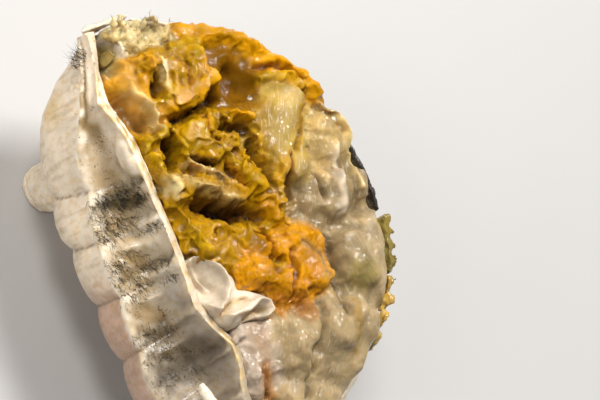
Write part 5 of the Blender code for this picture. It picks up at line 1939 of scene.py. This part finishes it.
@dataclass
class Bristles:
    """The bristles of the belly trough, the front tip and the mouth limbs.

    Places, lengths, widths and depths are in mm. A way is the middle direction of some bristles and its
    spread how much they differ, a depth how far under the surface they start, and raised how much of the
    surface's normal the trough's bristles take on. The tuft grows within tuft_reach of tuft_place, and the
    hairs of the mouth limbs above hair_height.
    """

    shell: BellyShell
    seed: int = 17
    trough: Point = (-0.06, 0.9)
    patch_edge: float = 2.2
    combed_way: Place = (0.0, -0.75, 0.75)
    combed_spread: Place = (0.3, 0.35, 0.3)
    combed_bend: Place = (0.0, 0.25, 0.25)
    combed_length: Point = (0.6, 1.25)
    combed_width: Point = (0.045, 0.085)
    combed_depth: float = 0.08
    raised: Point = (0.15, 0.6)
    scatter: float = 0.15
    sag: float = 0.12
    tuft_place: Place = (-14.5, 29.8, 27.3)
    tuft_reach: float = 1.7
    tuft_count: int = 80
    tuft_way: Place = (-0.8, 0.35, 0.35)
    tuft_spread: Place = (0.3, 0.4, 0.4)
    tuft_bend: Place = (0.1, 0.5, 0.6)
    tuft_bend_spread: Place = (0.5, 0.5, 0.5)
    tuft_length: Point = (0.9, 1.9)
    tuft_width: Point = (0.05, 0.09)
    tuft_depth: float = 0.1
    hair_height: float = 28.6
    hair_count: int = 170
    hair_way: Place = (0.0, 0.5, 0.3)
    hair_spread: Place = (0.3, 0.3, 0.3)
    hair_bend: Place = (0.15, 0.15, 0.0)
    hair_length: Point = (0.35, 1.1)
    hair_width: float = 0.06
    hair_depth: float = 0.06

    def build(self) -> None:
        """Grow the bristles of each place."""
        self.grow_trough()
        self.grow_tip_tuft()
        self.grow_mouth_hairs()

    def grow_trough(self) -> None:
        """Dark setae on the plates of the trough, combed to the middle edge and the rear."""
        draw = random.Random(self.seed)
        surface = bpy.data.objects["belly_shell"]
        points = read_points(surface)
        normals = read_normals(surface)
        share = self.shell.trough_share(points)
        outside = (share > self.trough[0]) & (share < self.trough[1]) & (normals[:, 0] < 0.1)
        mesh = BristleMesh()
        for patch in BRISTLE_PATCHES:
            reach = ((points[:, 1] - patch.along) / patch.half_along) ** 2
            reach += ((share - patch.share) / patch.half_share) ** 2
            near = np.flatnonzero(outside & (reach < self.patch_edge))
            if not len(near):
                log.warning("no place for the bristles at y %.1f", patch.along)
                continue
            odds = np.exp(-reach[near]) / np.exp(-reach[near]).sum()
            roots = np.random.default_rng(self.seed + len(mesh.points)).choice(near, patch.count, p=odds)
            for index in roots.tolist():
                normal = Vector(normals[index])
                aside = Vector([draw.uniform(-self.scatter, self.scatter) for _axis in range(3)])
                root = Vector(points[index]) + aside - normal * self.combed_depth
                combed = scattered(draw, self.combed_way, self.combed_spread)
                flat = combed - normal * combed.dot(normal)
                way = (flat.normalized() + normal * draw.uniform(*self.raised)).normalized()
                length = patch.length * draw.uniform(*self.combed_length)
                bend = scattered(draw, NOWHERE, self.combed_bend) - normal * self.sag * length
                mesh.add(root, way, bend * length, length, draw.uniform(*self.combed_width))
        mesh.finish("trough_bristles", BristleFinish("dark_bristles").build(), "belly_shell")

    def grow_tip_tuft(self) -> None:
        """A small curly tuft on the front tip of the belly shell."""
        draw = random.Random(self.seed + 1)
        points = read_points(bpy.data.objects["belly_shell"])
        away = np.linalg.norm(points - np.array(self.tuft_place), axis=1)
        near = np.flatnonzero(away < self.tuft_reach).tolist()
        mesh = BristleMesh()
        for _hair in range(self.tuft_count):
            root = Vector(points[draw.choice(near)])
            way = scattered(draw, self.tuft_way, self.tuft_spread).normalized()
            bend = scattered(draw, self.tuft_bend, self.tuft_bend_spread)
            length = draw.uniform(*self.tuft_length)
            mesh.add(root - way * self.tuft_depth, way, bend, length, draw.uniform(*self.tuft_width))
        mesh.finish("tip_tuft", BristleFinish("tuft_bristles", light=(0.10, 0.06, 0.04)).build(),
                    "belly_shell")

    def grow_mouth_hairs(self) -> None:
        """Pale stiff hairs on the mouth limbs."""
        draw = random.Random(self.seed + 2)
        surface = bpy.data.objects["mouth_limbs"]
        points = read_points(surface)
        normals = read_normals(surface)
        picks = np.flatnonzero((normals[:, 2] > 0.0) & (points[:, 2] > self.hair_height)).tolist()
        mesh = BristleMesh()
        for index in draw.sample(picks, min(self.hair_count, len(picks))):
            normal = Vector(normals[index])
            way = (normal + scattered(draw, self.hair_way, self.hair_spread)).normalized()
            bend = scattered(draw, NOWHERE, self.hair_bend)
            root = Vector(points[index]) - normal * self.hair_depth
            mesh.add(root, way, bend, draw.uniform(*self.hair_length), self.hair_width)
        finish = BristleFinish("pale_bristles", dark=(0.09, 0.07, 0.04), light=(0.42, 0.36, 0.22))
        mesh.finish("mouth_hairs", finish.build(), "mouthparts")


@dataclass(frozen=True)
class Lamp:
    """A square lamp, with its place and size in metres and its power in watts."""

    name: str
    place: Place
    size: float
    power: float
    mirrored: bool


@dataclass
class Stage:
    """The floor, the lamps and the camera.

    The camera's angles are in degrees and its distance in metres. aim and frame_width, the width of the
    picture at that distance, are in mm, as the floor's drop under the part is.
    """

    azimuth: float = -90.0
    elevation: float = 56.0
    roll: float = 66.0
    distance: float = 0.32
    aim: Place = (9.6, -0.4, 27.6)
    frame_width: float = 85.7
    sensor: float = 36.0
    nearest: float = 0.01
    floor_size: float = 3.0
    floor_drop: float = 0.02
    lamps: tuple[Lamp, ...] = (
        Lamp("key", (0.17, 0.16, 0.44), 0.13, 2.8, True),
        Lamp("second_key", (-0.12, 0.20, 0.48), 0.11, 1.3, True),
        Lamp("fill", (-0.45, 0.12, 0.34), 0.30, 1.2, False),
    )
    lit_place: Place = (0.0, 0.0, 0.02)
    surround: Colour = (1.0, 0.985, 0.96)
    surround_strength: float = 0.14

    def build(self) -> None:
        """Make the stage."""
        self.lay_floor()
        self.hang_lamps()
        self.surround_all()
        self.set_camera()

    def lay_floor(self) -> None:
        """A wide pale floor under the half."""
        deselect_all()
        bpy.ops.mesh.primitive_plane_add(size=self.floor_size, location=(0.0, 0.0, -self.floor_drop * MM))
        floor = bpy.context.object
        floor.name = "floor"
        floor.data.materials.append(FloorFinish().build())
        floor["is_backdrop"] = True

    def hang_lamps(self) -> None:
        """Two key lamps that the wet tissue mirrors and a soft fill lamp."""
        for lamp in self.lamps:
            light = bpy.data.lights.new(lamp.name, "AREA")
            light.size = lamp.size
            light.energy = lamp.power
            holder = bpy.data.objects.new(lamp.name, light)
            bpy.context.scene.collection.objects.link(holder)
            holder.location = lamp.place
            holder.visible_glossy = lamp.mirrored
            way = Vector(lamp.place) - Vector(self.lit_place)
            holder.rotation_euler = way.to_track_quat("Z", "Y").to_euler()
            holder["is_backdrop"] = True

    def surround_all(self) -> None:
        """A pale surround that the wet tissue doesn't mirror."""
        world = bpy.data.worlds.new("surround")
        world.use_nodes = True
        background = world.node_tree.nodes["Background"]
        background.inputs["Color"].default_value = (*self.surround, 1.0)
        background.inputs["Strength"].default_value = self.surround_strength
        world.cycles_visibility.glossy = False
        bpy.context.scene.world = world
        bpy.context.scene.view_settings.view_transform = "Standard"

    def set_camera(self) -> None:
        """The camera at the photograph's angle, with its frame on the same stretch of the half."""
        turn = math.radians(self.azimuth)
        tilt = math.radians(self.elevation)
        back = Vector((math.sin(turn) * math.cos(tilt), -math.cos(turn) * math.cos(tilt), math.sin(tilt)))
        rolled = Matrix.Rotation(math.radians(self.roll), 3, "Z")
        facing = back.to_track_quat("Z", "Y").to_matrix() @ rolled
        camera = bpy.data.cameras.new("camera")
        camera.sensor_width = self.sensor
        camera.lens = self.sensor * self.distance / (self.frame_width * MM)
        camera.clip_start = self.nearest
        holder = bpy.data.objects.new("camera", camera)
        bpy.context.scene.collection.objects.link(holder)
        eye = Vector(self.aim) * MM + back * self.distance
        holder.matrix_world = Matrix.Translation(eye) @ facing.to_4x4()
        bpy.context.scene.camera = holder


BACK_PLATES = ("cheek_plate", "back_vault_1", "back_vault_2", "back_vault_3", "back_vault_4",
               "back_vault_5", "back_rear")
LEG_STUBS = ("coxa_claw", "coxa_leg_1", "coxa_leg_2", "coxa_leg_3", "coxa_leg_4")
GILL_LEAVES = ("gill_leaf_1", "gill_leaf_2", "gill_leaf_3", "gill_leaf_4")
GILL_TIPS = ("gill_tip_1", "gill_tip_2", "gill_tip_3", "gill_tip_4", "gill_tip_5")


def plain_list(bounds: Sequence) -> list[list[float]]:
    """A box as plain lists of numbers."""
    return [[float(value) for value in corner] for corner in bounds]


def build_flesh(frame: dict) -> None:
    """The skin over the soft parts, and the inner shell that shows among them.
    """
    SculptedPiece(frame, "flesh_skin", "liver", NODE_TISSUES, FLESH_FORMS).build()
    SculptedPiece(frame, "inner_bowl", "inner_shell", BOWL_TISSUES, BOWL_FORMS, swell=0.5, shrink=0.24,
                  voxel=0.34, smooth=5, top=26.0, low=24.6, ragged=0.3, coat=0.35).build()
    SculptedPiece(frame, "mouth_cup", "inner_shell", CUP_TISSUES, CUP_FORMS, swell=0.1, shrink=0.1,
                  voxel=0.28, smooth=6, top=25.0, low=24.0, ragged=0.3, coat=0.35).build()


def build_outer_shell(frame: dict) -> None:
    """The back wall, the stubs of the abdomen and of its limb, and the leg stubs.
    """
    PlainShell(frame, "back_wall", BACK_PLATES, "back_shell").build()
    PlainShell(frame, "rear_stub", ("abdomen_stub",), "leg_socket", swell=0.0).build()
    PlainShell(frame, "swimmeret_rod", ("pleopod_stub",), "inner_shell", voxel=0.16, swell=0.0,
               tone=ShellTone.BRIGHT, low_tone=ShellTone.BRIGHT).build()
    for node in LEG_STUBS:
        LegStub(frame, node).build()


def build_mouth_and_gills(frame: dict) -> None:
    """The mouth limbs and the remains of the gills.
    """
    WetPiece(frame, "mouth_limbs", ("mouthparts",), "mouthparts", tone=(0.48, 0.345, 0.12),
             tip_tone=(0.60, 0.48, 0.25), crumple=0.30, shift=(-0.3, -0.9, -0.7)).build()
    WetPiece(frame, "mouth_cap", ("maxilliped",), "mouthparts", tone=(0.52, 0.46, 0.34),
             tip_tone=(0.62, 0.57, 0.45)).build()
    WetPiece(frame, "gill_flap", GILL_LEAVES, "gill", tone=(0.30, 0.24, 0.06),
             tip_tone=(0.20, 0.15, 0.03), swell=0.24, crumple=0.26, shift=(-1.2, 0.0, 0.0)).build()
    WetPiece(frame, "gill_fringe", GILL_TIPS, "gill", tone=(0.50, 0.36, 0.10),
             tip_tone=(0.42, 0.26, 0.05), swell=0.10, crumple=0.34, shift=(-0.8, 0.0, 0.0)).build()
    WetPiece(frame, "dark_skin", ("dark_membrane",), "dark_membrane", tone=(0.10, 0.08, 0.04),
             tip_tone=(0.03, 0.025, 0.02), shift=(-1.1, 0.0, 0.0)).build()


def main() -> None:
    """Build every piece round the frame, then the stage."""
    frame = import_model()
    cad_box = plain_list(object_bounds())
    SOLIDS_BOX[:] = cad_box
    belly = BellyShell(frame)
    belly.build()
    build_flesh(frame)
    build_outer_shell(frame)
    build_mouth_and_gills(frame)
    Bristles(belly).build()
    Stage().build()


if __name__ == "__main__":
    logging.basicConfig(level=logging.INFO, format="%(relativeCreated)d ms %(message)s")
    main()
